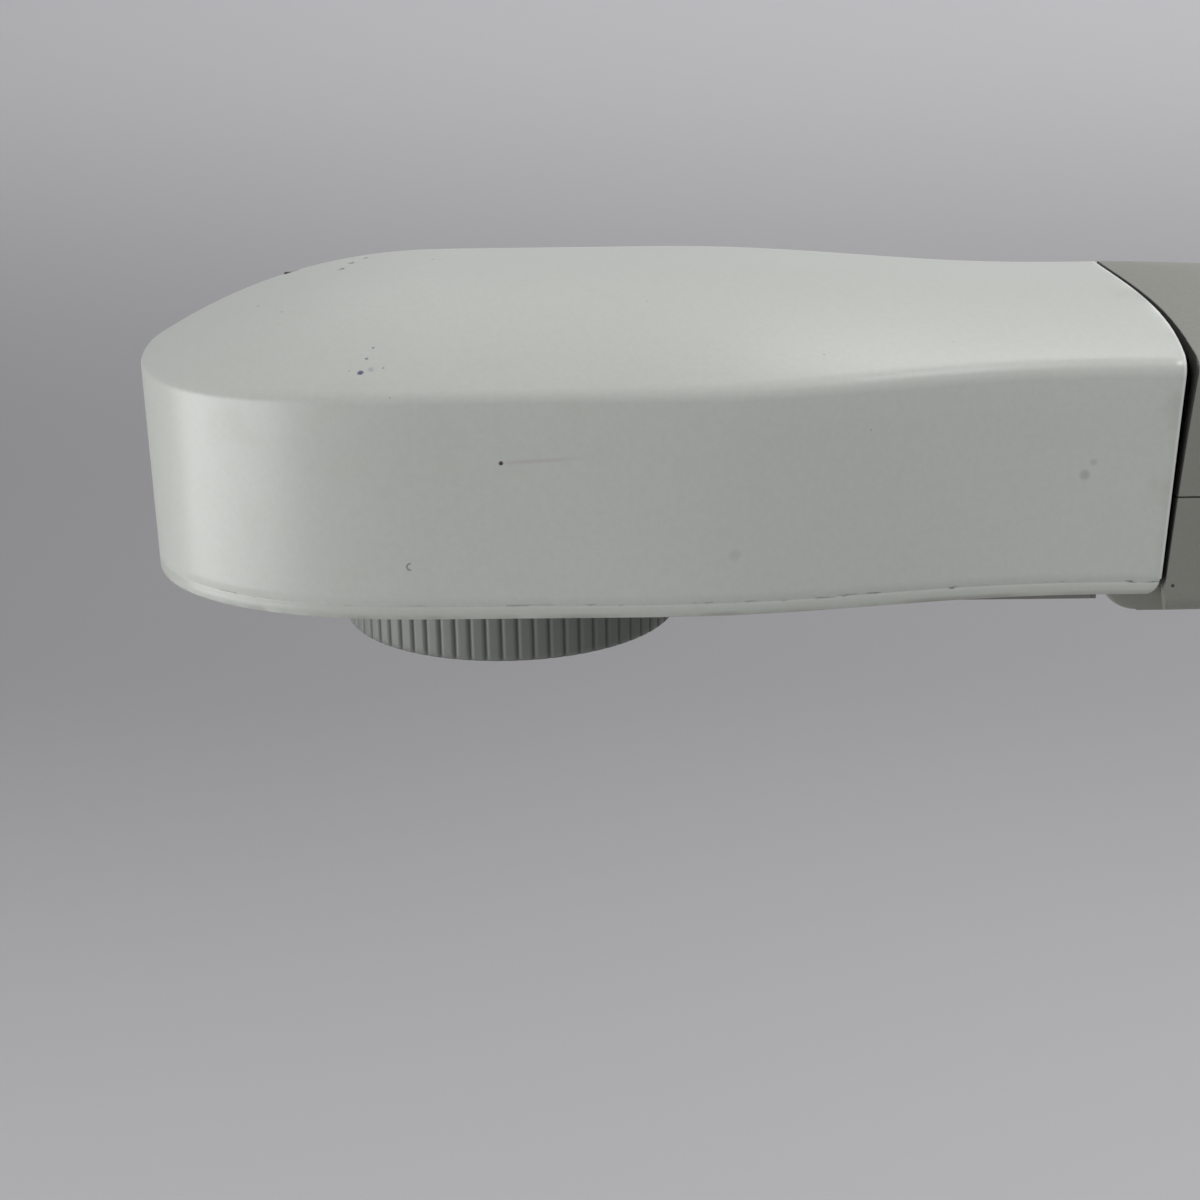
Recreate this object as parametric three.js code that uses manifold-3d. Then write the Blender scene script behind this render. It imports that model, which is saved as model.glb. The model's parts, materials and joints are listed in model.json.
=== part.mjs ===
// A document camera on a folding arm: a white camera head with a ribbed lens ring, a grey arm made of two
// half shells round a steel channel, and a weighted base with a control panel and rear sockets.
// Millimetres, +Z up. The head points towards -X, the arm stands behind it, the table is the plane Z = 0.
import * as THREE from "three";
import { mergeVertices } from "three/addons/utils/BufferGeometryUtils.js";
import Module from "manifold-3d";

const wasm = await Module();
wasm.setup();

const radians = THREE.MathUtils.degToRad;
const { sin, cos, tan, acos, atan2, PI, hypot, min, max } = Math;

// Clearances and sheet thicknesses that the whole machine shares
const gap = 0.3; // left between pieces that touch
const overrun = 6; // how far a cutting tool runs past the face it cuts
const wall = 2.2; // moulded plastic
const boardThick = 1.6;

// Head, in its own frame: X = 0 on the lens axis, Z = 0 at its bottom edge
const head = {
  noseReach: 64.5, // lens axis to the tip of the nose
  seamReach: 112, // lens axis to the seam with the arm, at the side
  halfWidth: 46,
  neckHalfWidth: 36.5,
  height: 53.3, // bottom edge to the top of the crown
  noseCentre: 10, // the nose starts to round this far ahead of the lens axis
  noseExponent: 2.3,
  neckStart: 21,
  neckEnd: 107.5,
  noseDrop: 14.9, // how much lower the crown is at the tip of the nose
  noseDropExponent: 2.24,
  neckDrop: 3.9,
  crownRadius: 75,
  draft: radians(2.85),
  bottomRadius: 0.8,
  crestRadius: 2.6,
};
// Seam between head and arm: it bows forward in the middle, and both its faces lean back
const seam = { bow: 5.7, headLean: radians(1.4), armLean: radians(3.4), gap: 0.7 };

// Arm: its reference line is the parting line of the two half shells
const arm = {
  pivotHeight: 84,
  lean: radians(12),
  straight: 317,
  elbowRadius: 40,
  neck: 17, // level stretch between the seam and the elbow
  splitRise: 17, // parting line above the head's bottom edge
  drop: 3.8, // inner face below the head's bottom edge
  footHalfWidth: 31, // half width at the arm hinge
  footDepth: 18, // parting line to the inner face at the arm hinge
  footCrest: 13,
  footCrown: 19,
  cornerRadius: 3, // lower edges
  crestRadius: 3.2,
  knuckleRadius: 24,
};
// Hinge of head and arm: two barrels of the arm, with the head's knuckle and two washers between them
const headHinge = {
  back: 3, // axis ahead of the seam
  barrelRadius: 6.5,
  barrelInset: 2.6, // outer ends of the barrels inside the neck's sides
  knuckleRadius: 4.5,
  knuckleHalf: 13.2,
  washer: 1.2,
  shaftRadius: 2.2,
  shaftInset: 0.4, // ends of the shaft inside the barrels
  fold: radians(100),
  coverGap: 2, // between the barrels and the end of the head's lower cover
};
headHinge.rise = headHinge.barrelRadius - arm.drop;
headHinge.barrelStart = headHinge.knuckleHalf + gap + headHinge.washer + gap;
headHinge.barrelEnd = head.neckHalfWidth - headHinge.barrelInset;
const cover = { thick: 2, drop: 1.8 }; // lower cover of the head; drop: how far it stands below the shell
const barrel = { radius: 19, wall: 2.5, lipReach: 1.5, lip: 1.2, bottom: -12, top: 24 }; // round the lens
const ringSize = {
  radius: 31.3,
  height: 13.4, // bottom of the ring below the head's bottom edge
  rimRadius: 0.6,
  ribs: 70,
  ribDepth: 0.7,
  bore: barrel.radius + gap,
  neckWall: 5,
  flare: 4, // depth of the cone that opens the bore downwards
};
const armShaft = { radius: 5, endInset: 4 }; // ends of the shaft inside the cheeks
const cheek = { armGap: 3, width: 26, radius: 26, footHalf: 38 };
cheek.inner = arm.footHalfWidth + cheek.armGap;
cheek.outer = cheek.inner + cheek.width;

// Base: X is measured from the arm hinge
const base = {
  front: 140,
  rear: 55,
  halfWidth: 130,
  cornerRadius: 42,
  frontHeight: 36,
  slope: radians(5),
  crestRadius: 8,
  bottomRadius: 1.5,
  clearance: 4, // bottom of the shell above the table
};
const socket = { depth: 16, mouthDepth: 9, space: 7, proud: 0.4 }; // proud: how far it stands out of the rear

// Places worked out from the driving dimensions
const along = { x: -sin(arm.lean), z: cos(arm.lean) }; // up the straight stretch of the arm
const outward = { x: cos(arm.lean), z: sin(arm.lean) }; // towards the back of the arm
const elbow = {
  x: along.x * arm.straight - outward.x * arm.elbowRadius,
  z: arm.pivotHeight + along.z * arm.straight - outward.z * arm.elbowRadius,
};
const elbowLength = arm.elbowRadius * (PI / 2 - arm.lean);
const seamX = elbow.x - arm.neck;
const splitZ = elbow.z + arm.elbowRadius;
const headX = seamX - head.seamReach;
const headZ = splitZ - arm.splitRise;
const hingeX = head.seamReach - headHinge.back; // head hinge axis, in the head's frame
const hingeZ = headHinge.rise;
const middleX = (base.rear + socket.proud + min(headX - head.noseReach, -base.front)) / 2;

// Colours and finishes
function finish(color, roughness, metalness = 0) {
  return new THREE.MeshStandardMaterial({ color, roughness, metalness });
}
const white = finish(0xd9dcd4, 0.55);
const grey = finish(0x8e8f88, 0.5);
const darkGrey = finish(0x3c3e40, 0.6);
const ringGrey = finish(0x6d6f70, 0.55);
const black = finish(0x121314, 0.45);
const glass = finish(0x20262c, 0.05);
const frosted = finish(0xf1f2ee, 0.3);
const steel = finish(0x9a9c9e, 0.35, 1);
const zinc = finish(0xb4b6b8, 0.3, 1);
const board = finish(0x1f5a36, 0.6);
const rubber = finish(0x2a2a2b, 0.9);

// Turns loose triangles into one closed body: vertices shared, flat triangles dropped, faces outwards
function closedBody(positions, triangles) {
  const loose = new THREE.BufferGeometry();
  loose.setAttribute("position", new THREE.Float32BufferAttribute(positions, 3));
  loose.setIndex(triangles);
  const shared = mergeVertices(loose, 1e-4);
  const index = shared.index.array;
  const kept = [];
  for (let i = 0; i < index.length; i += 3) {
    const [a, b, c] = [index[i], index[i + 1], index[i + 2]];
    if (a !== b && b !== c && c !== a) kept.push(a, b, c);
  }
  const corner = (i) => new THREE.Vector3().fromBufferAttribute(shared.attributes.position, i);
  let volume = 0;
  for (let i = 0; i < kept.length; i += 3) {
    volume += corner(kept[i]).dot(corner(kept[i + 1]).cross(corner(kept[i + 2])));
  }
  if (volume < 0) kept.reverse();
  shared.setIndex(kept);
  return shared;
}

// A three.js geometry as a solid that can be cut or joined, and back again
function solid(geometry) {
  const bare = geometry.clone();
  bare.deleteAttribute("normal");
  bare.deleteAttribute("uv");
  const shared = mergeVertices(bare, 1e-4);
  return new wasm.Manifold(
    new wasm.Mesh({
      numProp: 3,
      vertProperties: new Float32Array(shared.attributes.position.array),
      triVerts: new Uint32Array(shared.index.array),
    }),
  );
}
function geometryOf(manifold) {
  const mesh = manifold.getMesh();
  const made = new THREE.BufferGeometry();
  made.setAttribute("position", new THREE.Float32BufferAttribute(mesh.vertProperties, 3));
  made.setIndex(Array.from(mesh.triVerts));
  return made;
}
function cut(body, ...tools) {
  return geometryOf(tools.reduce((rest, tool) => rest.subtract(solid(tool)), solid(body)));
}
function join(body, ...others) {
  return geometryOf(others.reduce((all, other) => all.add(solid(other)), solid(body)));
}
const keepInside = (body, region) => geometryOf(solid(body).intersect(solid(region)));

// Plain shapes, given by their faces, or by a radius, a place and two ends
function block(x0, x1, y0, y1, z0, z1) {
  const box = new THREE.BoxGeometry(x1 - x0, y1 - y0, z1 - z0);
  return box.translate((x0 + x1) / 2, (y0 + y1) / 2, (z0 + z1) / 2);
}
function rodZ(radius, x, y, z0, z1, sides = 24) {
  const rod = new THREE.CylinderGeometry(radius, radius, z1 - z0, sides).rotateX(PI / 2);
  return rod.translate(x, y, (z0 + z1) / 2);
}
function rodY(radius, x, z, y0, y1, sides = 32) {
  return new THREE.CylinderGeometry(radius, radius, y1 - y0, sides).translate(x, (y0 + y1) / 2, z);
}
function slabZ(shape, z0, z1, curveSegments = 6) {
  const slab = new THREE.ExtrudeGeometry(shape, { depth: z1 - z0, bevelEnabled: false, curveSegments });
  return slab.translate(0, 0, z0);
}
// A side outline in X and Z, extruded across the machine
function slabY(shape, y0, y1, curveSegments = 10) {
  const slab = new THREE.ExtrudeGeometry(shape, { depth: y1 - y0, bevelEnabled: false, curveSegments });
  return slab.rotateX(PI / 2).translate(0, y1, 0);
}
function roundedRectangle(x0, x1, y0, y1, radius) {
  const s = new THREE.Shape();
  s.absarc(x1 - radius, y0 + radius, radius, -PI / 2, 0);
  s.absarc(x1 - radius, y1 - radius, radius, 0, PI / 2);
  s.absarc(x0 + radius, y1 - radius, radius, PI / 2, PI);
  s.absarc(x0 + radius, y0 + radius, radius, PI, PI + PI / 2);
  s.closePath();
  return s;
}
// A ring or tube round a vertical axis through the origin
function tubeZ(inner, outer, z0, z1, sides = 48) {
  const profile = [[inner, z0], [outer, z0], [outer, z1], [inner, z1], [inner, z0]];
  return new THREE.LatheGeometry(profile.map(([r, z]) => new THREE.Vector2(r, z)), sides).rotateX(PI / 2);
}
function tubeY(inner, outer, x, z, y0, y1, sides = 28) {
  const tube = tubeZ(inner, outer, y0, y1, sides);
  return tube.rotateX(-PI / 2).translate(x, 0, z);
}

// Joins a stack of rings, each a list of [x, y, z] with as many points, into one body. Ends are closed by the
// triangles of a flat outline, or the last ring is left to close on itself.
function loft(rings, flat, closeLast = true) {
  const count = rings[0].length;
  const triangles = [];
  for (let r = 0; r + 1 < rings.length; r++) {
    for (let i = 0; i < count; i++) {
      const j = (i + 1) % count;
      const [a, b, c, d] = [r * count + i, r * count + j, (r + 1) * count + j, (r + 1) * count + i];
      triangles.push(a, b, c, a, c, d);
    }
  }
  const last = (rings.length - 1) * count;
  const outline = flat.map(([u, v]) => new THREE.Vector2(u, v));
  for (const [a, b, c] of THREE.ShapeUtils.triangulateShape(outline, [])) {
    triangles.push(a, c, b);
    if (closeLast) triangles.push(last + a, last + b, last + c);
  }
  return closedBody(rings.flat(2), triangles);
}

const clampTo = (value, low, high) => min(max(value, low), high);
function ease(t) {
  const s = clampTo(t, 0, 1);
  return s ** 3 * (s * (6 * s - 15) + 10);
}

// Head's outline at its bottom edge, each point with its place on the spine where the crown closes
const noseShare = 0.45; // how far the spine stands back from the nose
const headEnd = head.seamReach + overrun * 2;
function headOutline(inset) {
  const reach = head.noseReach - head.noseCentre - inset;
  const noseSteps = 8;
  const sideSteps = 8;
  const side = [];
  for (let k = 0; k < noseSteps; k++) {
    const a = ((PI / 2) * k) / noseSteps;
    const x = -head.noseCentre - reach * cos(a) ** (2 / head.noseExponent);
    side.push([x, (head.halfWidth - inset) * sin(a) ** (2 / head.noseExponent)]);
  }
  for (let k = 0; k <= sideSteps; k++) {
    const x = -head.noseCentre + ((headEnd + head.noseCentre) * k) / sideSteps;
    const narrowing = ease((x - head.neckStart) / (head.neckEnd - head.neckStart));
    side.push([x, head.halfWidth - inset - (head.halfWidth - head.neckHalfWidth) * narrowing]);
  }
  const spineFront = -head.noseCentre - reach * (1 - noseShare);
  const withSpine = ([x, y]) => ({ x, y, sx: max(x, spineFront), sy: 0 });
  const far = side.slice(1).reverse();
  return [...side.map(([x, y]) => withSpine([x, -y])), ...far.map(withSpine)];
}
function crownHeight(x, y) {
  const nose = clampTo((-head.noseCentre - x) / (head.noseReach - head.noseCentre), 0, 1);
  const ridge = head.height - head.noseDrop * nose ** head.noseDropExponent;
  const neck = head.neckDrop * ease((x - head.neckStart) / (head.neckEnd - head.neckStart));
  return ridge - neck - y ** 2 / (2 * head.crownRadius);
}

// The whole head as one body, or the same form set in by a wall: rounded bottom edge, drafted side, rounded
// crest and a crown that closes on its spine
function headForm(inset, bottom, bottomRadius) {
  const plan = headOutline(inset);
  const top = (x, y) => crownHeight(x, y) - inset;
  const place = ({ x, y, sx, sy }, move, z) => {
    const reach = hypot(sx - x, sy - y);
    const widen = 1 + (max(z, 0) * tan(head.draft)) / head.halfWidth;
    return [x + ((sx - x) * move) / reach, (y + ((sy - y) * move) / reach) * widen, z];
  };
  const rings = [];
  const roundSteps = bottomRadius > 0 ? 2 : 0;
  for (let k = 0; k <= roundSteps; k++) {
    const a = roundSteps ? ((PI / 2) * k) / roundSteps : PI / 2;
    const rise = bottomRadius * (1 - cos(a));
    rings.push(plan.map((q) => place(q, bottomRadius * (1 - sin(a)), bottom + rise)));
  }
  const crestSteps = 3;
  for (let k = 0; k <= crestSteps; k++) {
    const t = k / crestSteps;
    rings.push(
      plan.map((q) => {
        const corner = place(q, 0, top(q.x, q.y));
        const [x, y] = place(q, head.crestRadius, top(q.x, q.y));
        const low = [corner[0], corner[1], corner[2] - head.crestRadius];
        const high = [x, y, top(x, y)];
        return corner.map((v, i) => low[i] * (1 - t) ** 2 + v * 2 * t * (1 - t) + high[i] * t ** 2);
      }),
    );
  }
  const rim = rings[rings.length - 1];
  const crownSteps = 3;
  for (let k = 1; k <= crownSteps; k++) {
    const t = k / crownSteps;
    rings.push(
      plan.map((q, i) => {
        const x = rim[i][0] + (q.sx - rim[i][0]) * t;
        const y = rim[i][1] * (1 - t);
        return [x, y, top(x, y)];
      }),
    );
  }
  return loft(rings, rings[0], false);
}

// What lies behind (side 1) or ahead (side -1) of the bowed, leaning seam surface, in the head's frame
function besideSeam(side, offset, lean) {
  const half = head.halfWidth + overrun;
  const far = head.seamReach + side * arm.elbowRadius;
  const steps = 16;
  const s = new THREE.Shape();
  s.moveTo(far, -half);
  for (let k = 0; k <= steps; k++) {
    const y = -half + (2 * half * k) / steps;
    const turn = PI * clampTo(y / head.neckHalfWidth, -1, 1);
    s.lineTo(head.seamReach + offset - (seam.bow * (1 + cos(turn))) / 2, y);
  }
  s.lineTo(far, half);
  s.closePath();
  const leaning = new THREE.Matrix4().set(1, 0, tan(lean), 0, 0, 1, 0, 0, 0, 0, 1, 0, 0, 0, 0, 1);
  return slabZ(s, -head.height, head.height * 2).applyMatrix4(leaning);
}

// Stations on the arm's reference line: s = 0 at the seam, growing towards the arm hinge
const armLength = arm.neck + elbowLength + arm.straight;
function station(s) {
  const share = clampTo(s / armLength, 0, 1);
  if (s <= arm.neck) return { x: seamX + s, z: splitZ, nx: 0, nz: 1, share };
  const bent = s - arm.neck;
  if (bent <= elbowLength) {
    const a = PI / 2 - bent / arm.elbowRadius;
    const reach = arm.elbowRadius;
    return { x: elbow.x + reach * cos(a), z: elbow.z + reach * sin(a), nx: cos(a), nz: sin(a), share };
  }
  const left = armLength - s;
  return { x: along.x * left, z: arm.pivotHeight + along.z * left, nx: outward.x, nz: outward.z, share };
}
// A point of the arm: v across the machine, h outwards from the reference line, at length s
function armPoint(s, v, h) {
  const { x, z, nx, nz } = station(s);
  return [x + nx * h, v, z + nz * h];
}
const elbowSteps = 7; // flat stretches round the elbow
const elbowStations = Array.from(
  { length: elbowSteps + 1 },
  (_, k) => arm.neck + (elbowLength * k) / elbowSteps,
);

// Sizes of the arm's section at length s: half width, inner depth, crest and crown from the reference line
const crownAtSeam = head.height - head.neckDrop - arm.splitRise;
const crestAtSeam = crownAtSeam - head.neckHalfWidth ** 2 / (2 * head.crownRadius);
function armSize(s) {
  const { share } = station(s);
  const between = (atSeam, atFoot) => atSeam + (atFoot - atSeam) * share;
  return {
    half: between(head.neckHalfWidth, arm.footHalfWidth),
    depth: between(arm.splitRise + arm.drop, arm.footDepth),
    crest: between(crestAtSeam, arm.footCrest),
    crown: between(crownAtSeam, arm.footCrown),
  };
}
function armSkin(s, v) {
  const { half, crest, crown } = armSize(s);
  return crown - (crown - crest) * (v / half) ** 2;
}
const crownShares = [0.86, 0.5]; // points across the crown, as shares of the half width

// The arm's section at length s, set in by a wall: flat inner face, drafted sides, rounded crest and crown
function armSection(s, inset) {
  const size = armSize(s);
  const [half, depth, crest] = [size.half - inset, size.depth - inset, size.crest - inset];
  const low = arm.cornerRadius - inset / 2;
  const high = arm.crestRadius - inset / 2;
  const bend = 1 - sin(PI / 4);
  const wide = (h) => half + (h + arm.splitRise) * tan(head.draft);
  const right = [
    [half - low, -depth],
    [half - low * bend, -depth + low * bend],
    [half, -depth + low],
    [wide(crest - high), crest - high],
    [wide(crest) - high * bend, crest - high * bend],
    ...crownShares.map((share) => [half * share, armSkin(s, size.half * share) - inset]),
  ];
  const left = right.map(([v, h]) => [-v, h]).reverse();
  return [...right, [0, size.crown - inset], ...left];
}
function armLoft(stations, inset) {
  const rings = stations.map((s) => armSection(s, inset).map(([v, h]) => armPoint(s, v, h)));
  return loft(rings, armSection(stations[0], inset));
}
// A region along the arm: |v| up to half, between two heights from the reference line
function armRegion(stations, half, low, high) {
  const outline = [[-half, low], [half, low], [half, high], [-half, high]];
  return loft(stations.map((s) => outline.map(([v, h]) => armPoint(s, v, h))), outline);
}

const group = new THREE.Group();
group.position.x = -middleX;
const headGroup = new THREE.Group();
headGroup.position.set(headX, 0, headZ);
const deck = new THREE.Group(); // the base's sloping top: X up the slope from the front edge, Z out of it
deck.position.set(-base.front, 0, base.frontHeight);
deck.rotation.y = -base.slope;
deck.updateMatrix();
group.add(headGroup, deck);
function add(parent, name, geometry, material) {
  const mesh = new THREE.Mesh(geometry, material);
  mesh.name = name;
  parent.add(mesh);
}
const sides = [-1, 1];
const bothWays = (from, to, side) => (side > 0 ? [from, to] : [-to, -from]); // two ends, mirrored for side -1

// A pan-head screw standing on its head, which is at the origin
const screw = { head: 2.7, headHeight: 1.6, shank: 1.25, recess: 0.8, recessWidth: 0.8, well: 3.1 };
const recessShare = 0.6; // reach of the cross recess, as a share of the screw's head
function screwUp(x, y, z, length) {
  const body = join(
    rodZ(screw.head, 0, 0, 0, screw.headHeight, 10),
    rodZ(screw.shank, 0, 0, screw.headHeight / 2, length, 6),
  );
  const reach = screw.head * recessShare;
  const half = screw.recessWidth / 2;
  const cross = [
    block(-reach, reach, -half, half, -overrun, screw.recess),
    block(-half, half, -reach, reach, -overrun, screw.recess),
  ];
  return cut(body, ...cross).translate(x, y, z);
}

// Head casings and frame
const headScrewShares = { along: 0.785, across: 0.74 }; // of the seam's reach and the neck's half width
const headScrews = ["left", "right"].map((hand, i) => ({
  name: `${hand}_head_screw`,
  x: head.seamReach * headScrewShares.along,
  y: -sides[i] * head.neckHalfWidth * headScrewShares.across,
}));
const headPost = { radius: 3.4, well: 2.6, boss: 4.8, bossTop: 5.2, screw: 13 };
const frame = { z: 20, thick: 2 };
const frameTop = frame.z + frame.thick;
const noseShares = { lamp: 0.68, mic: 0.41, light: 0.605 }; // of the nose's reach, ahead of the lens axis
const widthShares = { mic: 0.057, light: 0.117 }; // of the half width, off the middle
const lamp = { x: -head.noseReach * noseShares.lamp, halfX: 6, halfY: 14, thick: 1.6, corner: 3, rise: 1.2 };
const mic = {
  x: -head.noseReach * noseShares.mic,
  y: -head.halfWidth * widthShares.mic,
  radius: 3,
  height: 2.5,
  holeRadius: 0.7,
  pitch: 4.2,
};
mic.bottom = crownHeight(mic.x - mic.radius, mic.y - mic.radius) - wall - gap * 2 - mic.height;
const light = { x: -head.noseReach * noseShares.light, y: head.halfWidth * widthShares.light, radius: 1.3 };
const cable = { half: 8, thick: 1, slotRise: 1.5, slotHeight: 4.5 };
const plateau = { corner: 30, noseGap: 8.5 }; // raised part of the lower cover
const fullWidth = head.halfWidth * 2;

// Rounds the head's lower rear corner about the hinge, so that it can fold down past the arm
function rearCorner() {
  const r = headHinge.rise + gap / 2;
  const s = new THREE.Shape();
  s.absarc(hingeX, hingeZ, r, 0, -PI / 2, true);
  s.lineTo(hingeX, hingeZ - r - overrun);
  s.lineTo(hingeX + r + overrun, hingeZ - r - overrun);
  s.lineTo(hingeX + r + overrun, hingeZ);
  s.closePath();
  return slabY(s, -fullWidth, fullWidth, 6);
}
function headTopShell() {
  const holes = [-1, 0, 1].map((k) =>
    rodZ(mic.holeRadius, mic.x + k * mic.holeRadius, mic.y + k * mic.pitch, frame.z, head.height * 2, 8),
  );
  holes.push(rodZ(light.radius + gap, light.x, light.y, frame.z, head.height * 2, 12));
  const hollow = headForm(wall, -overrun, 0);
  const behind = besideSeam(1, 0, seam.headLean);
  return cut(headForm(0, 0, head.bottomRadius), hollow, behind, rearCorner(), ...holes);
}
const coverEnd = hingeX - headHinge.barrelRadius - headHinge.coverGap;
function headBottomCover() {
  const outline = new THREE.Shape(headOutline(wall + gap).map(({ x, y }) => new THREE.Vector2(x, y)));
  const half = head.neckHalfWidth - wall - gap;
  const front = plateau.noseGap - head.noseReach;
  const raised = roundedRectangle(front, headEnd + plateau.corner, -half, half, plateau.corner);
  const middle = cover.thick / 2;
  const bosses = headScrews.map(({ x, y }) => rodZ(headPost.boss, x, y, middle, headPost.bossTop, 14));
  const body = join(slabZ(outline, 0, cover.thick), slabZ(raised, -cover.drop, middle), ...bosses);
  const { x: lampX, halfX, halfY, corner } = lamp;
  const lampHole = roundedRectangle(lampX - halfX, lampX + halfX, -halfY, halfY, corner);
  const wells = headScrews.flatMap(({ x, y }) => [
    rodZ(screw.well, x, y, -overrun, headPost.well - cover.drop, 12),
    rodZ(screw.shank + gap, x, y, -overrun, headPost.bossTop + overrun, 8),
  ]);
  return cut(
    body,
    rodZ(ringSize.bore + ringSize.neckWall + gap, 0, 0, -overrun, overrun, 40),
    slabZ(lampHole, -overrun, overrun),
    block(coverEnd, headEnd * 2, -fullWidth, fullWidth, -overrun, overrun),
    ...wells,
  );
}
function headFrame() {
  const wallX = coverEnd - wall;
  const plate = block(-head.noseReach, coverEnd, -fullWidth, fullWidth, frame.z, frameTop);
  const rearWall = block(wallX, coverEnd, -fullWidth, fullWidth, -overrun, head.height);
  const inside = headForm(wall + gap, cover.thick + gap, 0);
  const postFoot = headPost.bossTop + gap;
  const posts = headScrews.map(({ x, y }) => rodZ(headPost.radius, x, y, postFoot, frame.z + gap, 12));
  posts.push(rodZ(mic.radius, mic.x, mic.y, frame.z + gap, mic.bottom - gap, 12));
  const half = headHinge.knuckleHalf;
  const knuckle = rodY(headHinge.knuckleRadius, hingeX, hingeZ, -half, half, 18);
  const web = block(wallX + gap, hingeX, -half, half, cover.thick + gap, hingeZ + headHinge.knuckleRadius);
  const body = join(keepInside(join(plate, rearWall), inside), ...posts, knuckle, web);
  const slotHalf = cable.half + wall;
  const slotZ = frameTop + cable.slotRise;
  const notch = light.radius * 2; // round the light pipe, open to the nose
  return cut(
    body,
    rodY(headHinge.shaftRadius + gap, hingeX, hingeZ, -fullWidth, fullWidth, 12),
    rodZ(barrel.radius + gap, 0, 0, 0, head.height / 2, 40),
    block(wallX - overrun, coverEnd + overrun, -slotHalf, slotHalf, slotZ, slotZ + cable.slotHeight),
    block(-head.noseReach, light.x + notch, light.y - notch, light.y + notch, frame.z - gap, frameTop + gap),
    ...headScrews.map(({ x, y }) => rodZ(screw.shank + gap, x, y, 0, frame.z - gap, 8)),
  );
}
add(headGroup, "head_top_shell", headTopShell(), white);
add(headGroup, "head_bottom_cover", headBottomCover(), grey);
add(headGroup, "head_frame", headFrame(), black);
for (const { name, x, y } of headScrews) {
  const z = headPost.well - cover.drop - screw.headHeight - gap;
  add(headGroup, name, screwUp(x, y, z, headPost.screw), zinc);
}

// Lamp, microphone, indicator and board of the head
const headPcb = { start: 38, rearGap: 20, half: 24, chipGap: 19, chip: 13 };
const sensor = { half: 15, chipHalf: 5, chip: 1.4 };
function lampLens() {
  const { x, halfX, halfY, corner, thick } = lamp;
  const outline = roundedRectangle(x - halfX + gap, x + halfX - gap, gap - halfY, halfY - gap, corner - gap);
  return slabZ(outline, -cover.drop, -cover.drop + thick);
}
function lampBoard() {
  const z = cover.thick + gap;
  const { x, halfX, halfY, rise } = lamp;
  const plate = block(x - halfX - wall, x + halfX, -halfY - wall, halfY + wall, z, z + boardThick);
  const lights = [-1, 0, 1].map((k) => {
    const y = (k * halfY) / 2;
    return block(x - rise, x + rise, y - rise, y + rise, z - rise - gap, z + gap);
  });
  return join(plate, ...lights);
}
function headBoard() {
  const z = frameTop + gap;
  const { start, rearGap, half, chipGap, chip } = headPcb;
  const plate = block(start, hingeX - rearGap, -half, half, z, z + boardThick);
  const chipX = start + chipGap;
  return join(plate, block(chipX, chipX + chip, -chip / 2, chip / 2, z + gap, z + boardThick * 2));
}
function lightPipe() {
  const top = crownHeight(light.x, light.y) + overrun;
  return keepInside(rodZ(light.radius, light.x, light.y, frameTop - wall, top, 10), headForm(0, 0, 0));
}
const microphone = rodZ(mic.radius, mic.x, mic.y, mic.bottom, mic.bottom + mic.height, 16);
add(headGroup, "lamp_lens", lampLens(), frosted);
add(headGroup, "lamp_board", lampBoard(), board);
add(headGroup, "head_main_board", headBoard(), board);
add(headGroup, "microphone", microphone, zinc);
add(headGroup, "indicator_light_pipe", lightPipe(), glass);

// Lens unit, which turns in the head's lower cover
const frontThick = 1.5;
const cell = { hood: 13, step: 2, top: 10, aperture: 6 };
const ringTop = -cover.drop - gap;
const neckTop = cover.thick + gap;
const neckRadius = ringSize.bore + ringSize.neckWall;
const barrelBore = barrel.radius - barrel.wall;
function lathed(profile, sides) {
  return new THREE.LatheGeometry(profile.map(([r, z]) => new THREE.Vector2(r, z)), sides).rotateX(PI / 2);
}
function rotationRing() {
  const ribs = new THREE.Shape();
  const pitch = (2 * PI) / ringSize.ribs;
  const ribShares = [-0.3, 0.3, 0.36, 0.64]; // across one rib and its groove, as shares of the pitch
  for (let k = 0; k < ringSize.ribs; k++) {
    ribShares.forEach((share, i) => {
      const r = ringSize.radius - (i < 2 ? 0 : ringSize.ribDepth);
      const a = pitch * (k + share);
      if (k === 0 && i === 0) ribs.moveTo(r * cos(a), r * sin(a));
      else ribs.lineTo(r * cos(a), r * sin(a));
    });
  }
  const low = -ringSize.height;
  const core = ringSize.radius - ringSize.ribDepth;
  const r = ringSize.rimRadius;
  const middle = (low + ringTop) / 2;
  const body = slabZ(ribs, low + r, ringTop);
  const rimTurns = [0, PI / 4, PI / 2];
  const rimArc = rimTurns.map((a) => [core - r + r * sin(a), low + r - r * cos(a)]);
  const rim = lathed([[0, low], ...rimArc, [core, middle], [0, middle]], 40);
  const neck = rodZ(neckRadius, 0, 0, middle, neckTop, 40);
  const mouth = (ringSize.bore + core - r) / 2;
  const flare = new THREE.CylinderGeometry(ringSize.bore, mouth, ringSize.flare, 40).rotateX(PI / 2);
  flare.translate(0, 0, low + ringSize.flare / 2);
  return cut(join(body, rim, neck), rodZ(ringSize.bore, 0, 0, low - overrun, neckTop + overrun, 40), flare);
}
function lensBarrel() {
  return cut(
    rodZ(barrel.radius, 0, 0, barrel.bottom, barrel.top, 32),
    rodZ(barrelBore, 0, 0, barrel.bottom + barrel.lip, barrel.top + overrun, 32),
    rodZ(barrelBore - barrel.lipReach, 0, 0, barrel.bottom - overrun, barrel.top, 32),
  );
}
const glassZ = barrel.bottom + barrel.lip + gap;
function lensCell() {
  const { hood, step, top, aperture } = cell;
  const z = glassZ + frontThick + gap;
  const r = barrelBore - gap;
  return lathed([[hood, z], [r, z], [r, top], [aperture, top], [aperture, step], [hood, z]], 28);
}
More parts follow.
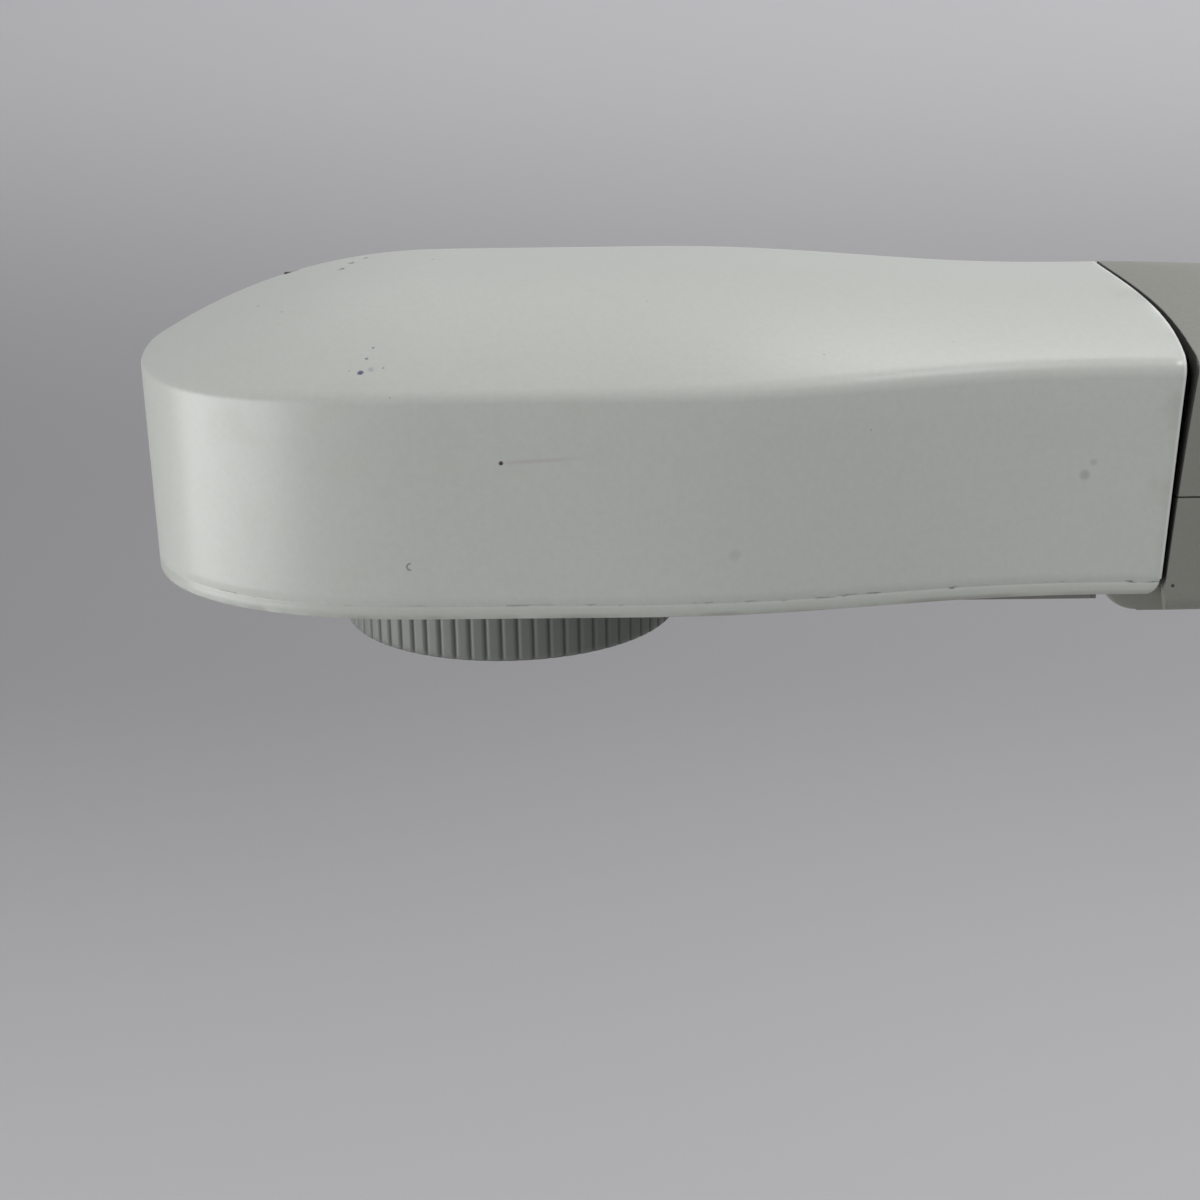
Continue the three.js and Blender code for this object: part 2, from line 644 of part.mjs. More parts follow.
function sensorBoard() {
  const z = barrel.top + gap;
  const { half, chipHalf, chip } = sensor;
  const plate = block(-half, half, -half, half, z, z + boardThick);
  return join(plate, block(-chipHalf, chipHalf, -chipHalf, chipHalf, z - chip, z + gap));
}
const retainer = tubeZ(ringSize.bore, neckRadius + wall, neckTop + gap, neckTop + gap + cover.thick, 32);
add(headGroup, "rotation_ring", rotationRing(), ringGrey);
add(headGroup, "ring_retainer", retainer, darkGrey);
add(headGroup, "lens_barrel", lensBarrel(), black);
add(headGroup, "front_glass", rodZ(barrelBore - gap, 0, 0, glassZ, glassZ + frontThick, 32), glass);
add(headGroup, "lens_cell", lensCell(), black);
add(headGroup, "sensor_board", sensorBoard(), board);

// Arm shells
const armScrewShares = { along: 0.8, across: 0.81 }; // of the arm's length, and of its half width there
const armPost = { radius: 4.4, well: 2.6, screw: 24 };
const screwS = armLength * armScrewShares.along;
const armScrews = ["left", "right"].map((hand, i) => ({
  name: `${hand}_arm_screw`,
  v: -sides[i] * armSize(screwS).half * armScrewShares.across,
}));
const toMachine = (geometry) => geometry.translate(headX, 0, headZ);
const armShaftHole = () => rodY(armShaft.radius + gap, 0, arm.pivotHeight, -fullWidth, fullWidth, 20);
function standing(geometry) {
  const { x, z } = station(screwS);
  return geometry.rotateY(PI / 2 - arm.lean).translate(x, 0, z);
}
function armShell(side) {
  const beyond = head.neckHalfWidth;
  const outside = [-beyond / 3, 0, ...elbowStations, armLength];
  const inside = [-beyond / 2, 0, ...elbowStations, armLength];
  const r = arm.knuckleRadius;
  const half = arm.footHalfWidth;
  const knuckle = rodY(r, 0, arm.pivotHeight, -half, half, 36);
  const knuckleHollow = rodY(r - wall, 0, arm.pivotHeight, wall - half, half - wall, 36);
  const full = join(armLoft(outside, 0), knuckle);
  const hollow = join(armLoft(inside, wall), knuckleHollow);
  const shell = cut(full, hollow, toMachine(besideSeam(-1, seam.gap, seam.armLean)));
  const region = [-beyond, 0, ...elbowStations, armLength + beyond];
  const [low, high] = side > 0 ? [gap / 2, beyond * 2] : [overrun - arm.elbowRadius, -gap / 2];
  return keepInside(shell, armRegion(region, fullWidth, low, high));
}
function armOuterShell() {
  const inSkin = (v) => armSkin(screwS, v) - wall / 2;
  const bore = screw.shank + gap;
  const posts = armScrews.map(({ v }) => standing(rodZ(armPost.radius, 0, v, gap, inSkin(v), 12)));
  const bores = armScrews.map(({ v }) => standing(rodZ(bore, 0, v, -overrun, armPost.screw / 3, 8)));
  return cut(join(armShell(1), ...posts), ...bores, armShaftHole());
}
// Where the head goes when it is folded down: its lower edge and its rounded corner, with clearance
function foldedHead() {
  const depth = headHinge.rise + gap * 2;
  const path = block(-fullWidth, 0, -fullWidth, fullWidth, -depth, depth).rotateY(-headHinge.fold);
  return path.translate(hingeX, 0, hingeZ);
}
function armInnerShell() {
  const floor = -armSize(screwS).depth;
  const posts = armScrews.map(({ v }) => standing(rodZ(armPost.radius, 0, v, floor + wall / 2, -gap, 12)));
  const holes = armScrews.flatMap(({ v }) => [
    standing(rodZ(screw.well, 0, v, floor - overrun, floor + armPost.well, 12)),
    standing(rodZ(screw.shank + gap, 0, v, floor - overrun, overrun, 8)),
  ]);
  const { barrelRadius: r, barrelStart: start, barrelEnd: end, knuckleRadius, rise, shaftRadius } = headHinge;
  const knuckleRoom = rodY(knuckleRadius + gap * 2, hingeX, hingeZ, -start, start, 20);
  const webRoom = block(hingeX - r * 2, hingeX + r, -start, start, -fullWidth, hingeZ);
  const cornerRoom = rodY(rise + gap * 2, hingeX, hingeZ, -fullWidth, fullWidth, 20);
  const room = [foldedHead(), knuckleRoom, webRoom, cornerRoom].map(toMachine);
  const barrels = sides.flatMap((side) => {
    const ends = bothWays(start, end, side);
    const root = block(hingeX, hingeX + r, ...ends, hingeZ - r, hingeZ - r + wall);
    return [rodY(r, hingeX, hingeZ, ...ends, 24), root].map(toMachine);
  });
  const bore = toMachine(rodY(shaftRadius + gap, hingeX, hingeZ, -fullWidth, fullWidth, 12));
  const shell = cut(join(armShell(-1), ...posts), ...holes, ...room, armShaftHole());
  return cut(join(shell, ...barrels), bore);
}
const channel = { half: 19, thick: 2, flange: -8, web: 6, barrelRadius: 11 };
channel.wallStart = headHinge.barrelRadius - headHinge.back + gap * 2; // bulkhead, behind the barrels
channel.wallEnd = channel.wallStart + channel.thick;
const acrossArm = (stations, outline) =>
  loft(stations.map((s) => outline.map(([v, h]) => armPoint(s, v, h))), outline);
function armChannel() {
  const { half, thick, flange, web } = channel;
  const outline = [
    [-half, flange], [-half + thick, flange], [-half + thick, web], [half - thick, web],
    [half - thick, flange], [half, flange], [half, web + thick], [-half, web + thick],
  ];
  const foot = armLength - channel.barrelRadius + thick;
  const stations = [channel.wallEnd - thick / 2, ...elbowStations, foot];
  const endWall = armLoft([channel.wallStart, channel.wallEnd], wall + gap);
  const length = arm.footHalfWidth - wall - gap;
  const boss = tubeY(armShaft.radius + gap, channel.barrelRadius, 0, arm.pivotHeight, -length, length, 20);
  const slot = armRegion([0, channel.wallEnd + gap], cable.half + gap, web - cable.thick - gap * 2, web);
  return cut(join(endWall, acrossArm(stations, outline), boss), slot);
}
function armCable() {
  const top = channel.web - gap;
  const low = top - cable.thick;
  const outline = [[-cable.half, low], [cable.half, low], [cable.half, top], [-cable.half, top]];
  const foot = armLength - channel.barrelRadius - armShaft.radius;
  return acrossArm([channel.wallEnd + gap, ...elbowStations, foot], outline);
}
add(group, "arm_outer_shell", armOuterShell(), grey);
add(group, "arm_inner_shell", armInnerShell(), grey);
add(group, "arm_channel", armChannel(), steel);
add(group, "arm_cable", armCable(), darkGrey);
for (const { name, v } of armScrews) {
  const floor = armPost.well - armSize(screwS).depth - screw.headHeight - gap;
  add(group, name, standing(screwUp(0, v, floor, armPost.screw)), zinc);
}
const armShaftHalf = cheek.outer - armShaft.endInset;
const headShaftHalf = headHinge.barrelEnd - headHinge.shaftInset;
const headShaft = rodY(headHinge.shaftRadius, hingeX, hingeZ, -headShaftHalf, headShaftHalf, 12);
const footShaft = rodY(armShaft.radius, 0, arm.pivotHeight, -armShaftHalf, armShaftHalf, 20);
add(group, "arm_hinge_shaft", footShaft, steel);
add(headGroup, "head_hinge_shaft", headShaft, steel);
for (const [name, side] of [["left_friction_washer", 1], ["right_friction_washer", -1]]) {
  const ends = bothWays(headHinge.knuckleHalf + gap, headHinge.barrelStart - gap, side);
  const washer = tubeY(headHinge.shaftRadius + gap, headHinge.knuckleRadius, hingeX, hingeZ, ...ends, 16);
  add(headGroup, name, washer, zinc);
}

// Base: what it holds, each place measured in from the base's own faces
const bottom = { thick: 3 };
const plateTop = base.clearance + bottom.thick;
const bracket = { ahead: 20, behind: 24, thick: 3, cheekGap: 1.8, uprightThick: 4, radius: 14, footHalf: 14 };
bracket.upright = cheek.inner + wall + bracket.cheekGap;
bracket.outside = bracket.upright + bracket.uprightThick;
const ballast = { frontInset: 22, bracketGap: 8, sideInset: 35, height: 8 };
const baseScrewInset = { front: 28, rear: 25, side: 18 };
const corners = [
  ["front_left", -1, 1], ["front_right", -1, -1], ["rear_left", 1, 1], ["rear_right", 1, -1],
];
const baseScrews = corners.map(([name, end, side]) => ({
  name: `${name}_base_screw`,
  x: end < 0 ? baseScrewInset.front - base.front : base.rear - baseScrewInset.rear,
  y: side * (base.halfWidth - baseScrewInset.side),
}));
const basePost = { radius: 4, screw: 18, bore: 25 };
const postRadius = 3;
const postShare = 0.7; // how far out along a board its posts stand, as a share of its half width
const postFace = base.halfWidth - baseScrewInset.side - basePost.radius; // inner side of the screw posts
const mainBoard = { frontInset: 14, postGap: 8, z: 19, postInset: 4 };
mainBoard.half = postFace - mainBoard.postGap;
mainBoard.x0 = mainBoard.frontInset - base.front;
mainBoard.x1 = -bracket.ahead;
const socketBoard = { depth: 28, postGap: 20, z: 14, postInset: 11 };
socketBoard.half = postFace - socketBoard.postGap;
socketBoard.x0 = base.rear - socketBoard.depth;
const panel = { start: 16, length: 68, sideInset: 38, corner: 8, thick: 1, postInset: 5, postLength: 2.3 };
panel.end = panel.start + panel.length;
panel.half = base.halfWidth - panel.sideInset;
const key = { rise: 1.4, flange: 1.2, flangeThick: 0.8, corner: 3, halfX: 5, halfY: 8, round: 7 };
const pad = { radius: 20, bore: 9 };
const infrared = { half: 12, z: 14, height: 9 };
const foot = { radius: 9, frontInset: 40, rearInset: 35, sideInset: 38, chamfer: 1 };

function planRing(inset, z) {
  const r = max(base.cornerRadius - inset, wall);
  const steps = 5;
  const [x, y] = [base.rear - inset - r, base.halfWidth - inset - r];
  const front = inset + r - base.front;
  const centres = [[x, y], [front, y], [front, -y], [x, -y]];
  const ring = centres.flatMap(([cx, cy], quarter) =>
    Array.from({ length: steps + 1 }, (_, k) => {
      const a = (PI / 2) * (quarter + k / steps);
      return [cx + r * cos(a), cy + r * sin(a)];
    }),
  );
  return ring.map(([px, py]) => [px, py, z(px)]);
}
const deckHeight = (x) => base.frontHeight + tan(base.slope) * (x + base.front);
function baseForm(inset, low) {
  const round = inset > 0 ? 0 : base.bottomRadius;
  const rings = [];
  if (round) rings.push(planRing(round, () => low));
  rings.push(planRing(inset, () => low + round));
  const r = base.crestRadius - inset;
  const steps = 3;
  for (let k = 0; k <= steps; k++) {
    const a = ((PI / 2) * k) / steps;
    rings.push(planRing(inset + r * (1 - cos(a)), (x) => deckHeight(x) - inset - r + r * sin(a)));
  }
  return loft(rings, rings[0]);
}
function cheekForm(side, inset) {
  const r = cheek.radius - inset;
  const footHalf = cheek.footHalf - inset;
  const low = base.frontHeight / 2;
  const drop = arm.pivotHeight - low;
  const tangent = acos(r / hypot(footHalf, drop)) - atan2(drop, footHalf);
  const s = new THREE.Shape();
  s.moveTo(-footHalf, low);
  s.lineTo(footHalf, low);
  s.absarc(0, arm.pivotHeight, r, tangent, PI - tangent);
  s.closePath();
  return slabY(s, ...bothWays(cheek.inner + inset, cheek.outer - inset, side), 10);
}
const onDeck = (geometry) => geometry.applyMatrix4(deck.matrix);

// Push buttons: places as shares of the panel's length and half width
const keyShares = [
  ["power_button", 0.3, 0.8], ["source_button", 0.73, 0.8], ["lamp_button", 0.73, 0.5],
  ["freeze_button", 0.73, 0.2], ["zoom_out_button", 0.3, 0.5], ["zoom_in_button", 0.3, 0.2],
  ["focus_button", 0.73, -0.1], ["enter_button", 0.5, -0.6], ["direction_pad", 0.5, -0.6],
];
const roundKeys = {
  power_button: { radius: key.round },
  enter_button: { radius: pad.bore - gap, inPad: true },
  direction_pad: { radius: pad.radius, bore: pad.bore },
};
const keys = keyShares.map(([name, lengthShare, widthShare]) => ({
  name,
  x: panel.start + panel.length * lengthShare,
  y: panel.half * widthShare,
  ...roundKeys[name],
}));
function keySlab({ x, y, radius }, grow, z0, z1) {
  if (radius) return rodZ(radius + grow, x, y, z0, z1, 20);
  const [hx, hy] = [key.halfX + grow, key.halfY + grow];
  return slabZ(roundedRectangle(x - hx, x + hx, y - hy, y + hy, key.corner + grow), z0, z1, 2);
}
const keyHoles = () => keys.filter(({ inPad }) => !inPad).map((k) => keySlab(k, gap, -overrun, overrun));

// Rear sockets, in a row centred on their board with the same space between each two: mouth, and its rim
const sockets = [
  { name: "power_socket", half: 3.2, height: 6.4, rim: 1.8 },
  { name: "video_out_socket", half: 12.5, height: 8, rim: 2 },
  { name: "video_in_socket", half: 12.5, height: 8, rim: 2 },
  { name: "usb_b_socket", half: 4.2, height: 7.6, rim: 1.8 },
  { name: "usb_a_socket", half: 6.2, height: 5.2, rim: 1.2 },
];
const spaces = sockets.length - 1;
let rowEnd = sockets.reduce((sum, { half, rim }) => sum + half + rim, (socket.space * spaces) / 2);
for (const one of sockets) {
  one.y = rowEnd - one.half - one.rim;
  rowEnd = one.y - one.half - one.rim - socket.space;
}
const socketZ = socketBoard.z + boardThick + gap;
const socketRear = base.rear + socket.proud;
function socketBlock({ y, half, height, rim }, x0, x1, grow) {
  const [wide, z] = [half + rim + grow, socketZ + rim];
  return block(x0, x1, y - wide, y + wide, z - rim - grow, z + height + rim + grow);
}
function socketBody(one) {
  const body = socketBlock(one, socketRear - socket.depth, socketRear, 0);
  return cut(body, socketBlock(one, socketRear - socket.mouthDepth, socketRear + overrun, -one.rim));
}
function baseTopShell() {
  const outer = join(baseForm(0, base.clearance), ...sides.map((side) => cheekForm(side, 0)));
  const inner = join(baseForm(wall, base.clearance - overrun), ...sides.map((side) => cheekForm(side, wall)));
  const posts = baseScrews.map(({ x, y }) =>
    rodZ(basePost.radius, x, y, plateTop + gap, deckHeight(x) - wall / 2, 12),
  );
  const deckPosts = [panel.start + panel.postInset, panel.end - panel.postInset].flatMap((x) =>
    sides.map((side) => {
      const y = side * (panel.half - panel.postInset);
      return onDeck(rodZ(postRadius, x, y, gap - wall - panel.postLength, -wall / 2, 8));
    }),
  );
  const { start, end, half, corner } = panel;
  const pocket = roundedRectangle(start - gap, end + gap, -half - gap, half + gap, corner + gap);
  const mouths = sockets.map((one) => socketBlock(one, base.rear - overrun, base.rear + overrun, gap));
  const front = -base.front;
  const { half: eyeHalf, z: eyeZ, height: eyeHeight } = infrared;
  const opening = block(front - overrun, front + overrun, -eyeHalf, eyeHalf, eyeZ, eyeZ + eyeHeight);
  const bores = baseScrews.map(({ x, y }) => rodZ(screw.shank + gap, x, y, 0, basePost.bore, 8));
  return cut(
    join(cut(outer, inner), ...posts, ...deckPosts),
    onDeck(slabZ(pocket, -panel.thick - gap, overrun, 4)),
    ...keyHoles().map(onDeck),
    ...mouths,
    opening,
    ...bores,
    armShaftHole(),
  );
}
add(group, "base_top_shell", baseTopShell(), white);

// Base plate with its posts, and what stands on it
function bottomPlate() {
  const outline = planRing(wall + gap, () => 0).map(([x, y]) => new THREE.Vector2(x, y));
  const places = [
    [mainBoard.x0 + mainBoard.postInset, mainBoard],
    [mainBoard.x1 - mainBoard.postInset, mainBoard],
    [socketBoard.x0 + socketBoard.postInset, socketBoard],
  ];
  const posts = places.flatMap(([x, { half, z }]) =>
    sides.map((side) => rodZ(postRadius, x, side * half * postShare, plateTop - gap, z - gap, 10)),
  );
  const body = join(slabZ(new THREE.Shape(outline), base.clearance, plateTop), ...posts);
  return cut(body, ...baseScrews.map(({ x, y }) => rodZ(screw.shank + gap, x, y, 0, plateTop + overrun, 8)));
}
function ballastPlate() {
  const half = base.halfWidth - ballast.sideInset;
  const z = plateTop + gap;
  const rear = -bracket.ahead - ballast.bracketGap;
  return block(ballast.frontInset - base.front, rear, -half, half, z, z + ballast.height);
}
function armBracket() {
  const z = plateTop + gap;
  const { ahead, behind, thick, radius, footHalf, upright, outside } = bracket;
  const flat = block(-ahead, behind, -outside, outside, z, z + thick);
  const uprights = sides.flatMap((side) => {
    const ends = bothWays(upright, outside, side);
    const eye = rodY(radius, 0, arm.pivotHeight, ...ends, 24);
    return [block(-footHalf, footHalf, ...ends, z, arm.pivotHeight), eye];
  });
  return cut(join(flat, ...uprights), armShaftHole());
}
const spring = { wire: 1.2, turns: 3, pitch: 3.2 };
function counterSpring() {
  const mean = armShaft.radius + gap * 2 + spring.wire;
  const start = bracket.outside + gap + spring.wire;
  const turnSteps = 12;
  const points = [];
  for (let k = 0; k <= turnSteps * spring.turns; k++) {
    const a = (2 * PI * k) / turnSteps;
    const y = start + (spring.pitch * k) / turnSteps;
    points.push(new THREE.Vector3(mean * cos(a), y, arm.pivotHeight + mean * sin(a)));
  }
  const section = new THREE.Shape();
  section.absarc(0, 0, spring.wire, 0, 2 * PI);
  const extrudePath = new THREE.CatmullRomCurve3(points);
  const steps = turnSteps * spring.turns;
  return new THREE.ExtrudeGeometry(section, { steps, extrudePath, curveSegments: 3 });
}
const cap = { radius: 15, thick: 1.6 };
function hingeCap(side) {
  const start = cheek.outer + gap;
  return rodY(cap.radius, 0, arm.pivotHeight, ...bothWays(start, start + cap.thick, side), 28);
}
function rubberFoot(end, side) {
  const { radius, chamfer, frontInset, rearInset, sideInset } = foot;
  const top = base.clearance - gap;
  const profile = [[0, 0], [radius - chamfer, 0], [radius, chamfer], [radius, top], [0, top]];
  const x = end < 0 ? frontInset - base.front : base.rear - rearInset;
  return lathed(profile, 18).translate(x, side * (base.halfWidth - sideInset), 0);
}
function flatBoard(x0, x1, { half, z }) {
  return block(x0, x1, -half, half, z, z + boardThick);
}
function infraredWindow() {
  const { half, z, height } = infrared;
  const front = gap - base.front;
  return block(front, front + wall, gap - half, half - gap, z + gap, z + height - gap);
}
add(group, "base_bottom_plate", bottomPlate(), darkGrey);
add(group, "ballast_plate", ballastPlate(), steel);
add(group, "arm_bracket", armBracket(), steel);
add(group, "counterbalance_spring", counterSpring(), zinc);
add(group, "left_hinge_cap", hingeCap(1), grey);
add(group, "right_hinge_cap", hingeCap(-1), grey);
add(group, "base_main_board", flatBoard(mainBoard.x0, mainBoard.x1, mainBoard), board);
add(group, "socket_board", flatBoard(socketBoard.x0, base.rear - wall - gap * 2, socketBoard), board);
for (const { name, x, y } of baseScrews) {
  add(group, name, screwUp(x, y, base.clearance - gap - screw.headHeight, basePost.screw), zinc);
}
for (const [name, end, side] of corners) add(group, `${name}_foot`, rubberFoot(end, side), rubber);
for (const one of sockets) add(group, one.name, socketBody(one), black);
add(group, "infrared_window", infraredWindow(), glass);

// Control panel: a thin plate in the shell's pocket, push buttons held by their flanges, and their board
function controlPanel() {
  const outline = roundedRectangle(panel.start, panel.end, -panel.half, panel.half, panel.corner);
  return cut(slabZ(outline, -panel.thick, 0, 4), ...keyHoles());
}
function pushButton(k) {
  const under = -wall - gap;
  const low = under - key.flangeThick;
  const stem = keySlab(k, 0, low, key.rise);
  const body = k.inPad ? stem : join(stem, keySlab(k, key.flange, low, under));
  return k.bore ? cut(body, rodZ(k.bore, k.x, k.y, low - overrun, overrun, 20)) : body;
}
function buttonBoard() {
  const top = -wall - panel.postLength;
  const half = panel.half - gap;
  return block(panel.start + gap, panel.end - gap, -half, half, top - boardThick, top);
}
add(deck, "control_panel", controlPanel(), darkGrey);
add(deck, "button_board", buttonBoard(), board);
for (const k of keys) add(deck, k.name, pushButton(k), k.name === "power_button" ? white : grey);

export default group;
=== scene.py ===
import json
from math import acos, atan2, cos, degrees, hypot, pi, radians, sin, tan

import bpy
from mathutils import Matrix, Vector


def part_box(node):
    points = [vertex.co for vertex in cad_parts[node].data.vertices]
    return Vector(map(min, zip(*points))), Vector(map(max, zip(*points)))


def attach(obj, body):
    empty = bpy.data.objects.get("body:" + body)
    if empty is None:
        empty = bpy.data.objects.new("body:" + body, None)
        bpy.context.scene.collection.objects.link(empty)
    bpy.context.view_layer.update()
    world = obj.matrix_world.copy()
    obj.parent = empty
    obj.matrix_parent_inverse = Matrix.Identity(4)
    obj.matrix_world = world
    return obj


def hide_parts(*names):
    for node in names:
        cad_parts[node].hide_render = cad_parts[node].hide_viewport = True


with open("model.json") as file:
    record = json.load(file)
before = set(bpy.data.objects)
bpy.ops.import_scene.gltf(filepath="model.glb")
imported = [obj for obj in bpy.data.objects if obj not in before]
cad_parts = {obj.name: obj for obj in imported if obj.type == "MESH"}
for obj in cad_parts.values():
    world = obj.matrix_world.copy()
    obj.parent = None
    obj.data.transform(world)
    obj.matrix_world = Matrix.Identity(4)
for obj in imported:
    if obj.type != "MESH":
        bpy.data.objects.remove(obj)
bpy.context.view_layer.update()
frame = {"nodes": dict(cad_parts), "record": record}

# A document camera: white head with a ribbed lens ring, grey folding arm, weighted base with push buttons.
# Pieces are modelled in millimetres, in the frame of the group that carries them, and settled into metres.
MM = 0.001


def middle_of(node):
    low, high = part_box(node)
    return (low + high) / 2 / MM


# Sizes, in millimetres
WALL = 2.2
GAP = 0.3
OVERRUN = 9
THROUGH = 60
SCREW_BORE = 1.55
LENS = middle_of("lens_barrel")
PIVOT = middle_of("arm_hinge_shaft")
HINGE = middle_of("head_hinge_shaft")
HEAD_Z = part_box("head_top_shell")[0].z / MM


class Head:
    nose_reach = 64.5
    seam_reach = 112
    half_width = 46
    neck_half_width = 36.5
    height = 53.3
    nose_centre = 10
    nose_exponent = 2.3
    nose_share = 0.42
    neck_start = 21
    neck_end = 107.5
    nose_drop = 14.9
    nose_drop_exponent = 2.24
    neck_drop = 3.9
    crown_radius = 75
    draft = radians(2.85)
    nose_crest_radius = 1.3
    neck_crest_radius = 2.3
    spine_share = 0.45
    side_rise_share = 1.75
    bend_start = 60
    bend_share = 0.6
    edge_radius = 0.3
    rear_clearance = 0.15
    hinge_x = HINGE.x - LENS.x
    hinge_z = HINGE.z - HEAD_Z


class Groove:
    """The moulded line round the head's lower edge."""

    z = 2.2
    depth = 0.12
    floor_half = 0.12
    half = 0.32


class Seam:
    """The bowed joint between head and arm."""

    bow = 5.9
    lean = radians(1.4)
    gap = 0.6
    spread = 0.024
    cut_top = 90


class Top:
    """Microphone holes and indicator on the crown, near the nose."""

    microphones = [(-28, -6.4), (-26.8, -2.5), (-24.7, 1.1)]
    microphone_radius = 0.7
    light = (-39, 5.4)
    light_radius = 1.35
    light_hole_radius = 1.6
    light_pipe_start = 20
    light_proud = 0.1


class Cover:
    thick = 2
    drop = 1.8
    nose_gap = 8.5
    corner = 30
    edge_radius = 0.7
    end = Head.hinge_x - 6.9
    notch_length = 1.1
    notch_half = 33.4
    screw_x = 87.9
    screw_y = 27
    well_radius = 3.1
    well_depth = 2.6
    post_radius = 4.8
    post_start = 1
    post_end = 5.2


class Lamp:
    x = -43.86
    half_x = 6
    half_y = 14
    corner = 3
    thick = 1.6


class Ring:
    radius = 31.3
    height = 13.4
    top = -2.1
    inner_top = 2.3
    ribs = 70
    steps_per_rib = 10
    rib_depth = 0.4
    groove_half_share = 0.2
    bore = 19.3
    neck_radius = 24.3


class Lens:
    radius = 19
    inner_radius = 16.5
    mouth_radius = 15
    glass_radius = 16.1
    front = -12
    rear = 24
    dome_radius = 14.8
    dome_rise = 0.9
    hood_bore = 6
    hood_rear = 10
    hood_steps = 6
    hood_step = 1.1
    hood_drop = 1.6


class Arm:
    lean = radians(12)
    straight = 317
    elbow_radius = 40
    neck = 17
    split_rise = 17
    drop = 3.8
    foot_half_width = 31
    foot_depth = 18
    foot_crest = 13
    foot_crown = 19
    corner_radius = 3
    crest_radius = 2.4
    knuckle_radius = 24
    shaft_room = 5.3
    region_half = 80
    region_reach = 40
    screw_share = 0.8
    screw_side_share = 0.81
    screw_sink = 2.6
    screw_well = 1.9


class Hinge:
    """The barrels under the joint of head and arm, and the rooms that the head needs there when it folds."""

    fold = radians(100)
    barrel_radius = 6.5
    barrel_start = 15
    barrel_end = 33.9
    barrel_edge = 0.6
    root_rise = 4.3
    bore = 2.5
    knuckle_room = 5.1
    web_room = 13
    path_length = 90
    cover_start = 2.4
    cover_end = 6.9
    cover_half = 33.75
    cover_drop = 5.75


class Shaft:
    head_radius = 2.2
    arm_radius = 5


class Base:
    front = 140
    rear = 55
    half_width = 130
    corner_radius = 42
    front_height = 36
    slope = radians(5)
    crest_radius = 8
    bottom_radius = 1.5
    clearance = 4
    edge_radius = 0.35
    mouth_reach = 6
    plate_thick = 3


class Cheek:
    inner = 34
    outer = 60
    radius = 26
    foot_half = 38
    bore_overrun = 10
    edge_radius = 2.2


class Vent:
    first = -16
    last = 14
    spacing = 5
    half_width = 1
    centre = 55
    half_length = 12


class Panel:
    start = 16
    end = 84
    half = 92
    corner = 8
    thick = 1
    edge_radius = 0.18
    hole_reach = 8
    pocket_rise = 6


class Key:
    half = (5, 8)
    corner = 3
    rise = 1.4
    edge_radius = 0.55
    flange = 1.2
    flange_thick = 0.8
    pad_bore = 9
    pad_dish = 0.6
    ink = 0.06
    arrow_reach = 14.5


TO_HEAD = Matrix.Translation((LENS.x, 0, HEAD_Z))
TO_MACHINE = Matrix.Translation((PIVOT.x, 0, 0))
DECK_EDGE = Matrix.Translation((-Base.front, 0, Base.front_height))
TO_DECK = TO_MACHINE @ DECK_EDGE @ Matrix.Rotation(-Base.slope, 4, "Y")
HEAD_IN_MACHINE = TO_MACHINE.inverted() @ TO_HEAD
EIGHTHS = [2 * pi * k / 8 for k in range(8)]
BODIES = {node: body for body, nodes in frame["record"]["behaviour"]["bodies"].items() for node in nodes}


# Materials
class Wire:
    """A value inside a material, so that sums on it are written as sums."""

    def __init__(self, paint, socket):
        self.paint, self.socket = paint, socket

    def _math(self, operation, first, second):
        return self.paint.node("Math", {"operation": operation}, {0: first, 1: second})

    def __add__(self, other):
        return self._math("ADD", self, other)

    def __sub__(self, other):
        return self._math("SUBTRACT", self, other)

    def __rsub__(self, other):
        return self._math("SUBTRACT", other, self)

    def __mul__(self, other):
        return self._math("MULTIPLY", self, other)

    __radd__ = __add__
    __rmul__ = __mul__

    def step(self, low, high):
        """0 below low, 1 above high and smooth between; low may be the larger."""
        settings = {"interpolation_type": "SMOOTHSTEP"}
        return self.paint.node("MapRange", settings, {"Value": self, "From Min": low, "From Max": high})


